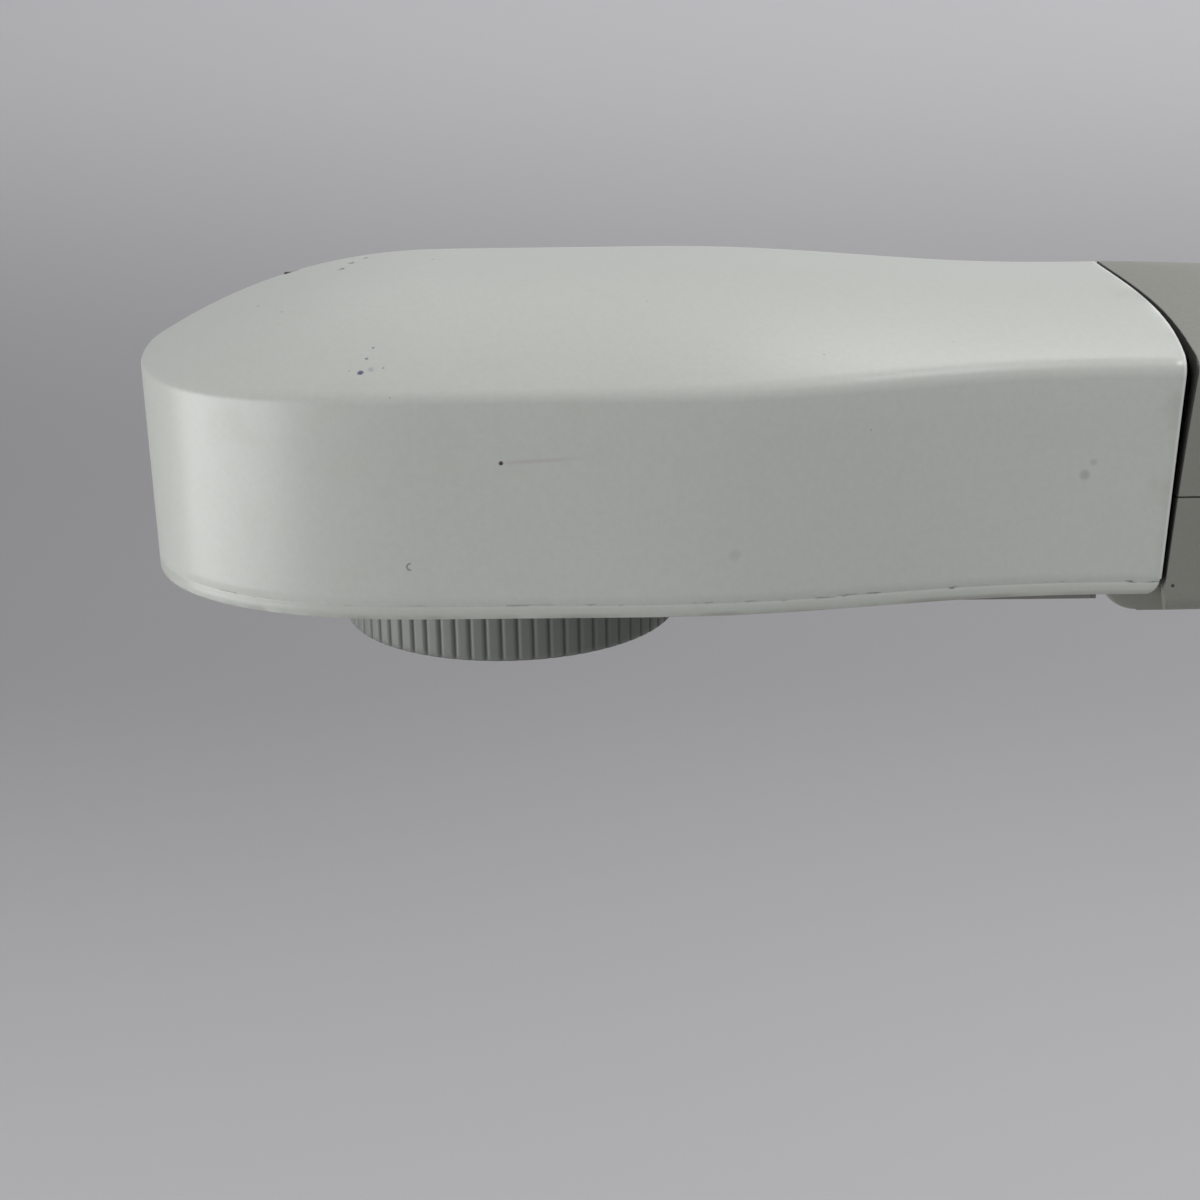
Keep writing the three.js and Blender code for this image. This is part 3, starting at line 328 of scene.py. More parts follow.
class Paint:
    """A material and its nodes."""

    def __init__(self, name, color, roughness=0.5, **sockets):
        self.material = bpy.data.materials.new(name)
        self.material.use_nodes = True
        self.tree = self.material.node_tree
        self.shader = self.tree.nodes["Principled BSDF"]
        self.color = (*color, 1)
        self.place = self.node("TexCoord", {}, {}, "Object")
        self.set("Base Color", self.color)
        self.set("Roughness", roughness)
        for socket, value in sockets.items():
            self.set(socket.replace("_", " "), value)

    def node(self, kind, settings, inputs, output=0):
        made = self.tree.nodes.new("ShaderNode" + kind)
        for key, value in settings.items():
            setattr(made, key, value)
        for key, value in inputs.items():
            self.join(made.inputs[key], value)
        return Wire(self, made.outputs[output])

    def join(self, socket, value):
        if isinstance(value, Wire):
            self.tree.links.new(value.socket, socket)
        else:
            socket.default_value = value

    def set(self, socket, value):
        self.join(self.shader.inputs[socket], value)

    def color_so_far(self):
        return Wire(self, self.shader.inputs["Base Color"].links[0].from_socket)

    def noise(self, scale, detail=2.0, at=None, rough=0.5):
        inputs = {"Vector": at or self.place, "Scale": scale, "Detail": detail, "Roughness": rough}
        return self.node("TexNoise", {}, inputs)

    def stretched(self, scale):
        """The place, stretched along the axes, for patterns that run one way."""
        return self.node("VectorMath", {"operation": "MULTIPLY"}, {0: self.place, 1: scale})

    def mix(self, share, first, second):
        return self.node("Mix", {"data_type": "RGBA"}, {0: share, 6: first, 7: second}, 2)

    def axis(self, letter, origin=0.0):
        """One coordinate in millimetres, counted from an origin."""
        return self.node("SeparateXYZ", {}, {0: self.place}, letter) * (1 / MM) - origin

    def distance(self, spot):
        """Millimetres from a spot on the head, which is given from the lens axis and the bottom edge."""
        inputs = {0: self.place, 1: head_spot(spot)}
        return self.node("VectorMath", {"operation": "DISTANCE"}, inputs, "Value") * (1 / MM)

    def bump(self, height, depth):
        return self.node("Bump", {}, {"Height": height, "Distance": depth * MM, "Strength": 1.0})

    def shade(self, low, high, share):
        """The material's colour made darker or lighter, where share runs from 0 to 1."""
        dark = [c * low for c in self.color[:3]] + [1]
        light = [c * high for c in self.color[:3]] + [1]
        return self.mix(share, dark, light)


def head_spot(spot):
    x, y, z = spot
    return [(LENS.x + x) * MM, y * MM, (HEAD_Z + z) * MM]


def past_seam(paint, gap=0.0, spread=0.0):
    """How far behind the seam between head and arm a place lies, in millimetres."""
    x = paint.axis("X", LENS.x + Head.seam_reach + gap - Seam.bow / 2)
    y = paint.axis("Y") * (1 / Head.neck_half_width)
    z = paint.axis("Z", HEAD_Z)
    turn = paint.node("Math", {"operation": "COSINE"}, {0: y * pi})
    return x + turn * (Seam.bow / 2) - z * tan(Seam.lean) - z * (y * y * y * y * spread)


DUST = (0.46, 0.455, 0.4, 1)
SPECK = (0.12, 0.115, 0.1, 1)
PAINT_BUMP = 0.018


def white_paint(name):
    """Off-white paint with a fine orange-peel grain, a few dark specks, and a thin film of dust in places."""
    paint = Paint(name, (0.62, 0.64, 0.595), 0.4)
    cloud = paint.noise(9, 3)
    grain = paint.noise(1500, 2)
    speckle = paint.noise(900, 3, rough=0.7)
    cells = {"Vector": paint.place, "Scale": 260, "Randomness": 1.0}
    flecks = paint.node("TexVoronoi", {}, cells, "Distance")
    specks = flecks.step(0.07, 0.03) * paint.noise(37, 1).step(0.6, 0.66)
    dust = paint.noise(140, 4).step(0.5, 0.75) * paint.noise(7, 2).step(0.45, 0.7)
    color = paint.shade(0.96, 1.03, cloud.step(0.3, 0.7) * 0.5 + speckle.step(0.3, 0.7) * 0.5)
    color = paint.mix(dust * 0.08, color, DUST)
    color = paint.mix(specks * 0.75, color, SPECK)
    paint.set("Roughness", speckle * 0.1 + dust * 0.08 + 0.28)
    paint.set("Normal", paint.bump(grain * 0.45 + speckle, PAINT_BUMP))
    return paint, color


SCRATCH = (2.1, -47.3, 26.9)
SCUFF = (-13.4, -46.5, 9.3)
ARM_DOT = (114.1, -36.6, 1.4)

# Marks of use on the head: place, reach, size of the core, colour and strength
MARKS = [
    (SCRATCH, 0.55, 0.25, (0.035, 0.01, 0.015, 1), 0.95),
    ((-20.3, -42.6, 40.9), 0.75, 0.35, (0.05, 0.025, 0.16, 1), 0.85),
    ((-18.6, -41.9, 41.1), 0.95, 0.2, (0.2, 0.16, 0.28, 1), 0.4),
    ((-19.6, -39.6, 42.5), 0.42, 0.15, (0.07, 0.04, 0.18, 1), 0.7),
    ((-18.8, -37.2, 43.8), 0.42, 0.15, (0.09, 0.06, 0.2, 1), 0.7),
    ((-22.2, -42.0, 41.1), 0.35, 0.1, (0.1, 0.07, 0.2, 1), 0.5),
    ((39.8, -47.7, 48.8), 0.35, 0.1, (0.1, 0.09, 0.08, 1), 0.9),
    ((39.8, -45.8, 10.6), 1.6, 0.4, (0.36, 0.37, 0.32, 1), 0.25),
    ((97.8, -37.6, 21.2), 1.3, 0.4, (0.28, 0.28, 0.26, 1), 0.4),
    ((99.0, -37.5, 23.4), 0.9, 0.2, (0.36, 0.34, 0.38, 1), 0.4),
]


def lower_line_grime_and_shade(paint, color, x, z):
    """Dashes of dirt in the moulded line and patches of it on the bottom rim, and painted shade on the band
    below the line.
    """
    streaks = paint.noise(260, 3, paint.stretched((1, 0.4, 5)))
    line = z.step(Groove.z + 0.4, Groove.z + 0.15) * z.step(Groove.z - 0.25, Groove.z - 0.1)
    dashes = streaks.step(0.58, 0.63) * line * (x.step(45, 80) * 0.6 + 0.4)
    rim = z.step(1.0, 0.2) * 0.5 * paint.noise(70, 3).step(0.4, 0.7)
    # Painted shade: the band below the moulded line is painted darker.
    color = paint.mix(z.step(2.3, 1.6) * 0.3, color, (0.42, 0.43, 0.39, 1))
    color = paint.mix(dashes * 0.8, color, (0.12, 0.11, 0.095, 1))
    return paint.mix(rim, color, (0.3, 0.29, 0.25, 1))


def seam_wear_and_highlight(paint, color, x, z):
    """Grime along the seam, a painted highlight on the head's rounded edge at the seam, and a rubbed nose."""
    behind = past_seam(paint)
    grime = behind.step(-6, -0.6) * paint.noise(200, 3).step(0.5, 0.8)
    nose = x.step(-60, -66) * paint.noise(45, 4).step(0.48, 0.7)
    color = paint.mix(grime * 0.25, color, (0.33, 0.32, 0.28, 1))
    # Painted highlight: a lighter line on the head's rounded edge at the seam.
    color = paint.mix(behind.step(-0.5, -0.25) * z.step(2, 6) * 0.6, color, (0.84, 0.85, 0.81, 1))
    return paint.mix(nose * 0.15, color, (0.5, 0.47, 0.4, 1))


def marks_of_use(paint, color, x, z):
    """Ink spots, dots, the trail behind the scratch and the curled scuff below it."""
    ragged = paint.noise(700, 3)
    for spot, reach, core, shade, strength in MARKS:
        near = paint.distance(spot) + ragged * reach * 0.9
        color = paint.mix(near.step(reach * 1.35, core + reach * 0.4) * strength, color, shade)
    start_x, _, start_z = SCRATCH
    off_line = z - start_z - (x - start_x) * 0.05
    trail = off_line.step(0.55, 0.0) * off_line.step(-0.55, 0.0) * x.step(2, 4) * x.step(17, 9)
    trail = trail * paint.axis("Y").step(-20, -40)
    color = paint.mix(trail * 0.22, color, (0.42, 0.24, 0.28, 1))
    scuff = paint.distance(SCUFF)
    curl = scuff.step(0.35, 0.48) * scuff.step(0.8, 0.62) * x.step(SCUFF[0] + 0.3, SCUFF[0] - 0.1)
    return paint.mix(curl * 0.75, color, (0.2, 0.19, 0.17, 1))


def head_paint():
    """The head's paint, with its grime and painted shade along the lower line, a painted highlight along the
    seam, and the marks of use on its near side.
    """
    paint, color = white_paint("head_paint")
    x, z = paint.axis("X", LENS.x), paint.axis("Z", HEAD_Z)
    for finish in (lower_line_grime_and_shade, seam_wear_and_highlight, marks_of_use):
        color = finish(paint, color, x, z)
    paint.set("Base Color", color)
    return paint.material


def base_paint():
    paint, color = white_paint("base_paint")
    low = paint.axis("Z").step(12, 4) * paint.noise(50, 4).step(0.4, 0.7)
    paint.set("Base Color", paint.mix(low * 0.35, color, (0.33, 0.31, 0.26, 1)))
    return paint.material


def grey_plastic(name, color, depth=0.06, dusty=0.25):
    """Moulded plastic with a fine spark texture, rubbed a little smoother in patches."""
    paint = Paint(name, color)
    cloud = paint.noise(8, 3)
    grain = paint.noise(1100, 3, rough=0.65)
    patch = paint.noise(22, 4)
    shade = paint.shade(0.93, 1.08, cloud.step(0.3, 0.7) * 0.7 + grain.step(0.35, 0.65) * 0.3)
    dust = patch.step(0.52, 0.75) * paint.noise(320, 2).step(0.4, 0.62)
    paint.set("Base Color", paint.mix(dust * dusty, shade, (0.42, 0.41, 0.37, 1)))
    paint.set("Roughness", 0.58 - patch.step(0.4, 0.7) * 0.14 + dust * 0.1)
    paint.set("Normal", paint.bump(grain, depth))
    return paint


def arm_plastic():
    """The arm's plastic, with one dark dot on it and painted shade, near black, on its face inside the seam.
    """
    paint = grey_plastic("arm_plastic", (0.262, 0.262, 0.232))
    dot = paint.distance(ARM_DOT).step(0.4, 0.25)
    # Painted shade: the arm's face inside the seam is painted near black.
    inside = past_seam(paint, Seam.gap, Seam.spread).step(0.3, 0.1) * paint.axis("Z", HEAD_Z).step(1, 3)
    color = paint.mix(dot * 0.9, paint.color_so_far(), (0.02, 0.02, 0.018, 1))
    paint.set("Base Color", paint.mix(inside * 0.9, color, (0.012, 0.012, 0.01, 1)))
    return paint.material


def ring_plastic():
    """Grey satin plastic, with painted shade in the grooves between the ribs."""
    paint = Paint("ring_plastic", (0.215, 0.228, 0.212), 0.42)
    x, y = paint.axis("X", LENS.x), paint.axis("Y")
    reach = paint.node("Math", {"operation": "SQRT"}, {0: x * x + y * y})
    outside = reach.step(Ring.radius - 2.8, Ring.radius - 1.8)
    groove = reach.step(Ring.radius - 0.1, Ring.radius - Ring.rib_depth * 0.8) * outside
    cloud = paint.noise(60, 3)
    # Painted shade: the grooves between the ribs are painted darker.
    paint.set("Base Color", paint.mix(groove * 0.5, paint.shade(0.92, 1.08, cloud), (0.1, 0.1, 0.09, 1)))
    paint.set("Roughness", 0.4 + groove * 0.25 + cloud * 0.1)
    paint.set("Normal", paint.bump(paint.noise(1300, 2), 0.03))
    return paint.material


def metal(name, color, roughness, along=(1, 1, 1)):
    """Bare or plated steel with fine lines of rolling or turning and faint handling marks."""
    paint = Paint(name, color, roughness, Metallic=1.0)
    lines = paint.noise(400, 3, paint.stretched(along))
    smear = paint.noise(40, 3)
    paint.set("Base Color", paint.shade(0.86, 1.06, lines * 0.6 + smear * 0.4))
    paint.set("Roughness", lines * 0.18 + smear.step(0.5, 0.7) * 0.1 + (roughness - 0.1))
    paint.set("Normal", paint.bump(lines, 0.01))
    return paint.material


def circuit_board():
    """Green solder resist with copper tracks showing under it and small pale pads."""
    paint = Paint("circuit_board", (0.028, 0.15, 0.055), 0.35)
    cells = {"Vector": paint.place, "Scale": 190, "Randomness": 0.2}
    track_settings = {"distance": "MANHATTAN", "feature": "DISTANCE_TO_EDGE"}
    tracks = paint.node("TexVoronoi", track_settings, cells, "Distance").step(0.1, 0.03)
    pads = paint.node("TexVoronoi", {"distance": "CHEBYCHEV"}, {**cells, "Scale": 260}, "Distance")
    pad = pads.step(0.2, 0.16) * paint.noise(45, 1).step(0.52, 0.56)
    color = paint.mix(tracks * 0.6, paint.color, (0.06, 0.26, 0.09, 1))
    paint.set("Base Color", paint.mix(pad, color, (0.5, 0.5, 0.46, 1)))
    paint.set("Roughness", 0.3 + pad * 0.15 + paint.noise(300, 2) * 0.1)
    paint.set("Normal", paint.bump(tracks, 0.04))
    return paint.material


def rubber():
    paint = Paint("rubber", (0.022, 0.022, 0.022), 0.8)
    dust = paint.noise(150, 4)
    paint.set("Base Color", paint.mix(dust.step(0.5, 0.75) * 0.5, paint.color, (0.11, 0.105, 0.095, 1)))
    paint.set("Roughness", 0.68 + dust * 0.25)
    paint.set("Normal", paint.bump(paint.noise(900, 3), 0.05))
    return paint.material


def smooth_plastic(name, color, roughness, coat=0.0):
    """Polished or printed plastic with faint smears."""
    paint = Paint(name, color, roughness, Coat_Weight=coat)
    smear = paint.noise(55, 4)
    paint.set("Base Color", paint.shade(0.94, 1.05, smear))
    paint.set("Roughness", smear.step(0.45, 0.75) * 0.12 + roughness)
    paint.set("Normal", paint.bump(paint.noise(400, 2), 0.006))
    return paint.material


HEAD_PAINT = head_paint()
BASE_PAINT = base_paint()
ARM_PLASTIC = arm_plastic()
RING_PLASTIC = ring_plastic()
KEY_PLASTIC = grey_plastic("key_plastic", (0.33, 0.335, 0.32), 0.03).material
DARK_PLASTIC = grey_plastic("dark_plastic", (0.05, 0.052, 0.056), 0.05, 0.12).material
BLACK_PLASTIC = grey_plastic("black_plastic", (0.016, 0.016, 0.018), 0.03, 0.08).material
COVER_PLASTIC = grey_plastic("cover_plastic", (0.24, 0.24, 0.222)).material
BLUE_PLASTIC = grey_plastic("blue_plastic", (0.02, 0.05, 0.2), 0.03, 0.05).material
STEEL = metal("steel", (0.5, 0.51, 0.52), 0.34, (1, 6, 1))
ZINC = metal("zinc", (0.62, 0.63, 0.64), 0.28)
BOARD = circuit_board()
RUBBER = rubber()
FROSTED = smooth_plastic("frosted_plastic", (0.8, 0.8, 0.77), 0.35)
WINDOW = smooth_plastic("dark_window", (0.012, 0.006, 0.008), 0.08, 1.0)
GLASS = smooth_plastic("lens_glass", (0.008, 0.012, 0.022), 0.03, 1.0)
INK = smooth_plastic("white_ink", (0.72, 0.73, 0.72), 0.45)
DARK_INK = smooth_plastic("dark_ink", (0.03, 0.03, 0.033), 0.45)


# Modelling helpers
def clamp(value, low=0.0, high=1.0):
    return min(max(value, low), high)


def ease(share):
    t = clamp(share)
    return t**3 * (t * (6 * t - 15) + 10)


def between(start, end, share):
    return start + (end - start) * share


def bend(low, corner, high, t):
    """A point of the curve that rounds a corner from low to high."""
    return tuple(a * (1 - t) ** 2 + b * 2 * t * (1 - t) + c * t**2 for a, b, c in zip(low, corner, high))


def named(name):
    piece = bpy.context.object
    piece.name = piece.data.name = name
    return piece


def only(piece):
    bpy.ops.object.select_all(action="DESELECT")
    piece.select_set(True)
    bpy.context.view_layer.objects.active = piece


def edited(piece, *steps):
    """Runs edit-mode operators, each given as a name and its settings, on all of the piece."""
    only(piece)
    bpy.ops.object.mode_set(mode="EDIT")
    bpy.ops.mesh.select_all(action="SELECT")
    for operator, settings in steps:
        getattr(bpy.ops.mesh, operator)(**settings)
    bpy.ops.object.mode_set(mode="OBJECT")
    return piece


MERGE = ("remove_doubles", {"threshold": 0.004})
OUTWARDS = ("normals_make_consistent", {"inside": False})
CLOSE_ENDS = ("fill_holes", {"sides": 0})


def formed(name, columns, rows, place, *steps):
    """A grid primitive whose points are moved to place(u, v), with u and v from 0 to 1."""
    bpy.ops.object.select_all(action="DESELECT")
    bpy.ops.mesh.primitive_grid_add(x_subdivisions=columns, y_subdivisions=rows, size=2)
    piece = named(name)
    for vertex in piece.data.vertices:
        vertex.co = place((vertex.co.x + 1) / 2, (vertex.co.y + 1) / 2)
    return edited(piece, MERGE, *steps, OUTWARDS)


def lofted(name, rings):
    """One closed ring of points after another, joined, with flat ends."""
    count, last = len(rings[0]), len(rings) - 1

    def place(u, v):
        return rings[round(v * last)][round(u * count) % count]

    return formed(name, count, last, place, CLOSE_ENDS)


def slab(name, outline, low, high):
    """A flat outline in X and Y, raised from one height to another."""
    return lofted(name, [[(x, y, z) for x, y in outline] for z in (low, high)])


def side_slab(name, outline, low, high):
    """A side outline in X and Z, carried across the machine."""
    return lofted(name, [[(x, y, z) for x, z in outline] for y in (low, high)])


def rod(name, radius, start, end, sides=64):
    start, end = Vector(start), Vector(end)
    turn = (end - start).to_track_quat("Z", "Y").to_euler()
    bpy.ops.object.select_all(action="DESELECT")
    size = {"vertices": sides, "radius": radius, "depth": (end - start).length}
    bpy.ops.mesh.primitive_cylinder_add(**size, location=(start + end) / 2, rotation=turn)
    bpy.ops.object.transform_apply()
    return named(name)


def upright(name, radius, x, y, low, high, sides=64):
    return rod(name, radius, (x, y, low), (x, y, high), sides)


def crosswise(name, radius, x, z, low, high, sides=64):
    """A rod that lies across the machine."""
    return rod(name, radius, (x, low, z), (x, high, z), sides)


def block(name, low, high):
    low, high = Vector(low), Vector(high)
    bpy.ops.object.select_all(action="DESELECT")
    bpy.ops.mesh.primitive_cube_add(size=1, location=(low + high) / 2, scale=high - low)
    bpy.ops.object.transform_apply()
    return named(name)


def spun(name, profile, sides=96):
    """A profile of radius and height, closed on itself or on the axis, turned about the Z axis."""
    last = len(profile) - 1

    def place(u, v):
        r, z = profile[round(v * last)]
        return r * cos(2 * pi * u), r * sin(2 * pi * u), z

    return formed(name, sides, last, place)


def modified(piece, kind, **settings):
    modifier = piece.modifiers.new(kind.lower(), kind)
    for key, value in settings.items():
        setattr(modifier, key, value)
    only(piece)
    bpy.ops.object.modifier_apply(modifier=modifier.name)
    return piece


def combined(piece, tools, operation):
    for tool in tools:
        modified(piece, "BOOLEAN", object=tool, operation=operation, solver="MANIFOLD")
        bpy.data.objects.remove(tool)
    return piece


def cut(piece, *tools):
    return combined(piece, tools, "DIFFERENCE")


def join(piece, *tools):
    return combined(piece, tools, "UNION")


def rounded(piece, width, steps=3, angle=40):
    """Rounds the edges that are sharper than an angle."""
    sharp = {"limit_method": "ANGLE", "angle_limit": radians(angle)}
    return modified(piece, "BEVEL", width=width, segments=steps, loop_slide=False, **sharp)


def moved(piece, matrix):
    piece.data.transform(matrix)
    return piece


def copy_of(piece, name):
    twin = piece.copy()
    twin.data = piece.data.copy()
    twin.name = twin.data.name = name
    bpy.context.scene.collection.objects.link(twin)
    return twin


def settled(piece, place, body, material, slot, replaces=(), angle=35):
    """Turns a piece from millimetres in its group into its place, and gives it its finish and its body."""
    piece.data.transform(Matrix.Scale(MM, 4) @ place)
    piece.data.materials.clear()
    piece.data.materials.append(material)
    only(piece)
    bpy.ops.object.shade_smooth_by_angle(angle=radians(angle))
    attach(piece, body)
    if replaces:
        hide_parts(*replaces)
    return piece


def node_box(node, origin=0.0):
    """The corners of a CAD node in millimetres, with X counted from an origin."""
    return [corner / MM - Vector((origin, 0, 0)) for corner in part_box(node)]


def arc(x, y, radius, start, end, steps):
    """Points of an arc, with its angles in degrees."""
    turns = [radians(between(start, end, k / steps)) for k in range(steps + 1)]
    return [(x + radius * cos(a), y + radius * sin(a)) for a in turns]


def rounded_rectangle(x0, x1, y0, y1, radius, steps=10):
    return [
        *arc(x1 - radius, y0 + radius, radius, -90, 0, steps),
        *arc(x1 - radius, y1 - radius, radius, 0, 90, steps),
        *arc(x0 + radius, y1 - radius, radius, 90, 180, steps),
        *arc(x0 + radius, y0 + radius, radius, 180, 270, steps),
    ]


# Head
SIDE_ROWS = [
    0, 1.0, Groove.z - Groove.half, Groove.z - Groove.floor_half, Groove.z + Groove.floor_half,
    Groove.z + Groove.half, 4, 10, 17, 24, 30,
]
ROWS_BELOW_RISE = 6
CREST_ROWS = 9
CROWN_ROWS = 18
OUTLINE_STEPS = 240


def narrowing(x):
    return ease((x - Head.neck_start) / (Head.neck_end - Head.neck_start))


def crown_height(x, y):
    nose = clamp((-Head.nose_centre - x) / (Head.nose_reach - Head.nose_centre))
    ridge = Head.height - Head.nose_drop * nose**Head.nose_drop_exponent
    return ridge - Head.neck_drop * narrowing(x) - y**2 / (2 * Head.crown_radius)


def plan_point(share, inset, end):
    """The head's outline at its bottom edge: share runs from -1 on its right, round the nose, to 1."""
    side = 1 if share > 0 else -1
    along = abs(share)
    if along <= Head.nose_share:
        a = pi / 2 * along / Head.nose_share
        reach = Head.nose_reach - Head.nose_centre - inset
        x = -Head.nose_centre - reach * cos(a) ** (2 / Head.nose_exponent)
        return x, side * (Head.half_width - inset) * max(sin(a), 0) ** (2 / Head.nose_exponent)
    x = between(-Head.nose_centre, end, (along - Head.nose_share) / (1 - Head.nose_share))
    half = Head.half_width - inset - (Head.half_width - Head.neck_half_width) * narrowing(x)
    return x, side * half


def seam_x(y, z, offset=0.0, spread=0.0):
    """The bowed, leaning seam; its gap spreads towards the upper edges of the sides."""
    share = clamp(y / Head.neck_half_width, -1, 1)
    bowed = Head.seam_reach + offset - Seam.bow * (1 + cos(pi * share)) / 2
    return bowed + z * (tan(Seam.lean) + spread * share**4)


def widening(z):
    """How much wider the head is at a height than at its bottom edge."""
    return 1 + max(z, 0) * tan(Head.draft) / Head.half_width


def upright_skin_point(share, row, end):
    """A point of the skin of a head that ends squarely at a given X."""
    x, y = plan_point(share, 0, end)
    front = -Head.nose_centre - (Head.nose_reach - Head.nose_centre) * (1 - Head.spine_share)
    spine = max(x, front)
    reach = hypot(spine - x, y)
    top = crown_height(x, y * widening(crown_height(x, y)))

    def inward(move, z):
        return x + (spine - x) * move / reach, (y - y * move / reach) * widening(z), z

    crest = between(Head.nose_crest_radius, Head.neck_crest_radius, narrowing(x + Head.neck_start))
    crest_low = top - crest
    if row < len(SIDE_ROWS):
        z = SIDE_ROWS[row]
        if row >= ROWS_BELOW_RISE:
            z *= min(1, crest_low / Head.height * Head.side_rise_share)
        in_groove = abs(z - Groove.z) < Groove.half * 0.6
        return inward(Groove.depth if in_groove else 0, z)
    corner = inward(0, top)
    rim = inward(crest, top)[:2]
    if row < len(SIDE_ROWS) + CREST_ROWS:
        t = (row - len(SIDE_ROWS)) / (CREST_ROWS - 1)
        return bend((*corner[:2], crest_low), corner, (*rim, crown_height(*rim)), t)
    t = (row - len(SIDE_ROWS) - CREST_ROWS + 1) / CROWN_ROWS
    px, py = between(rim[0], spine, t), rim[1] * (1 - t)
    return px, py, crown_height(px, py)


def skin_point(share, row):
    """A point of the head's skin: rows run up the side, round the crest and over the crown to its spine."""
    x, y, z = upright_skin_point(share, row, Head.seam_reach)
    ramp = clamp((abs(share) - Head.nose_share) / (1 - Head.nose_share))
    if x < Head.bend_start and ramp < Head.bend_share:
        return x, y, z
    return upright_skin_point(share, row, Head.seam_reach + (seam_x(y, z) - Head.seam_reach) * ramp)


def rear_corner():
    """What is taken off the head's lower rear corner so that it can fold about its hinge."""
    x, z, radius = Head.hinge_x, Head.hinge_z, Head.hinge_z + Head.rear_clearance
    far = radius + OVERRUN
    outline = [*arc(x, z, radius, 0, -90, 14), (x, z - far), (x + far, z - far), (x + far, z)]
    return side_slab("rear_corner", outline, -THROUGH, THROUGH)


def head_shell():
    rows = len(SIDE_ROWS) + CREST_ROWS + CROWN_ROWS - 1
    shell = formed("head_shell", OUTLINE_STEPS, rows, lambda u, v: skin_point(2 * u - 1, round(v * rows)))
    modified(shell, "SOLIDIFY", thickness=WALL, offset=-1, use_even_offset=True)
    low, high = Head.height - OVERRUN, Head.height + OVERRUN
    holes = [upright("mic_hole", Top.microphone_radius, x, y, low, high, 24) for x, y in Top.microphones]
    holes.append(upright("light_hole", Top.light_hole_radius, *Top.light, low, high, 32))
    cut(shell, rear_corner(), *holes)
    rounded(shell, Head.edge_radius, 2, 50)
    return settled(shell, TO_HEAD, "head", HEAD_PAINT, "white_shell", ["head_top_shell"], 40)


def indicator():
    top = crown_height(*Top.light) + Top.light_proud
    light = upright("indicator_light", Top.light_radius, *Top.light, Top.light_pipe_start, top, 32)
    settled(rounded(light, 0.4, 4), TO_HEAD, "head", WINDOW, "dark_window", ["indicator_light_pipe"])


# Lower cover of the head, lens ring and lens
def head_cover():
    """The plate under the head with its raised field, holes for lens and lamp, and posts for two screws."""
    inset = WALL + GAP
    half = Head.neck_half_width - inset
    front = Cover.nose_gap - Head.nose_reach
    steps = [2 * k / 120 - 1 for k in range(121)]
    cover = slab("head_cover", [plan_point(share, inset, Cover.end) for share in steps], 0, Cover.thick)
    field = rounded_rectangle(front, Cover.end + Cover.corner, -half, half, Cover.corner, 20)
    plateau = rounded(slab("plateau", field, -Cover.drop, Cover.thick / 2), Cover.edge_radius, 4, 60)
    window = rounded_rectangle(
        Lamp.x - Lamp.half_x, Lamp.x + Lamp.half_x, -Lamp.half_y, Lamp.half_y, Lamp.corner, 8
    )
    openings = [
        upright("neck", Ring.neck_radius + GAP, 0, 0, -OVERRUN, OVERRUN, 128),
        slab("window", window, -OVERRUN, OVERRUN),
        block("behind", (Cover.end, -THROUGH, -OVERRUN), (Head.seam_reach + THROUGH, THROUGH, OVERRUN)),
    ]
    spots = [(Cover.screw_x, side * Cover.screw_y) for side in (-1, 1)]
    foot, tip = Cover.post_start, Cover.post_end
    posts = [upright("post", Cover.post_radius, *spot, foot, tip, 40) for spot in spots]
    well_top = Cover.well_depth - Cover.drop
    wells = [upright("well", Cover.well_radius, *spot, -OVERRUN, well_top, 40) for spot in spots]
    bores = [upright("bore", SCREW_BORE, *spot, -OVERRUN, OVERRUN, 24) for spot in spots]
    corners = []
    for side in (1, -1):
        near, far = sorted((side * Cover.notch_half, side * THROUGH))
        start, end = Cover.end - Cover.notch_length, Cover.end + OVERRUN
        corners.append(block("corner", (start, near, -OVERRUN), (end, far, OVERRUN)))
    join(cover, plateau, *posts)
    cut(cover, *openings, *wells, *bores, *corners)
    rounded(cover, 0.25, 2, 50)
    settled(cover, TO_HEAD, "head", COVER_PLASTIC, "grey_shell", ["head_bottom_cover"])


def ring_profile():
    """Radius, height and share of the ribs' depth along the closed section of the lens ring."""
    low, top, r = -Ring.height, Ring.top, Ring.radius
    mouth = (Ring.bore + r) / 2
    return [
        (Ring.bore, Ring.inner_top, 0), (Ring.neck_radius, Ring.inner_top, 0), (Ring.neck_radius, top, 0),
        (r - 1.2, top, 0), (r - 0.9, top, 0), (r - 0.35, top - 0.15, 0.8), (r, top - 0.6, 1), (r, top - 3, 1),
        (r, top - 6, 1), (r, low + 1.5, 1), (r, low + 0.9, 1), (r - 0.15, low + 0.45, 0.75),
        (r - 0.5, low + 0.12, 0.3), (r - 0.95, low, 0), (r - 1.3, low, 0), (mouth, low, 0),
        (mouth - 0.5, low + 0.2, 0), (mouth - 0.8, low + 0.6, 0), (Ring.bore + 0.5, low + 3.6, 0),
        (Ring.bore, low + 4.2, 0), (Ring.bore, Ring.inner_top, 0),
    ]


def lens_ring():
    """The ribbed ring: a closed profile turned about the lens axis, with grooves pressed into its outside."""
    profile = ring_profile()
    last = len(profile) - 1

    def place(u, v):
        r, z, ribbed = profile[round(v * last)]
        from_groove = abs((u * Ring.ribs) % 1 - 0.5)
        r -= Ring.rib_depth * ribbed * (1 - ease(from_groove / Ring.groove_half_share))
        return r * cos(2 * pi * u), r * sin(2 * pi * u), z

    ring = formed("lens_ring", Ring.ribs * Ring.steps_per_rib, last, place)
    settled(ring, TO_HEAD, "lens_unit", RING_PLASTIC, "ring_plastic", ["rotation_ring"], 50)


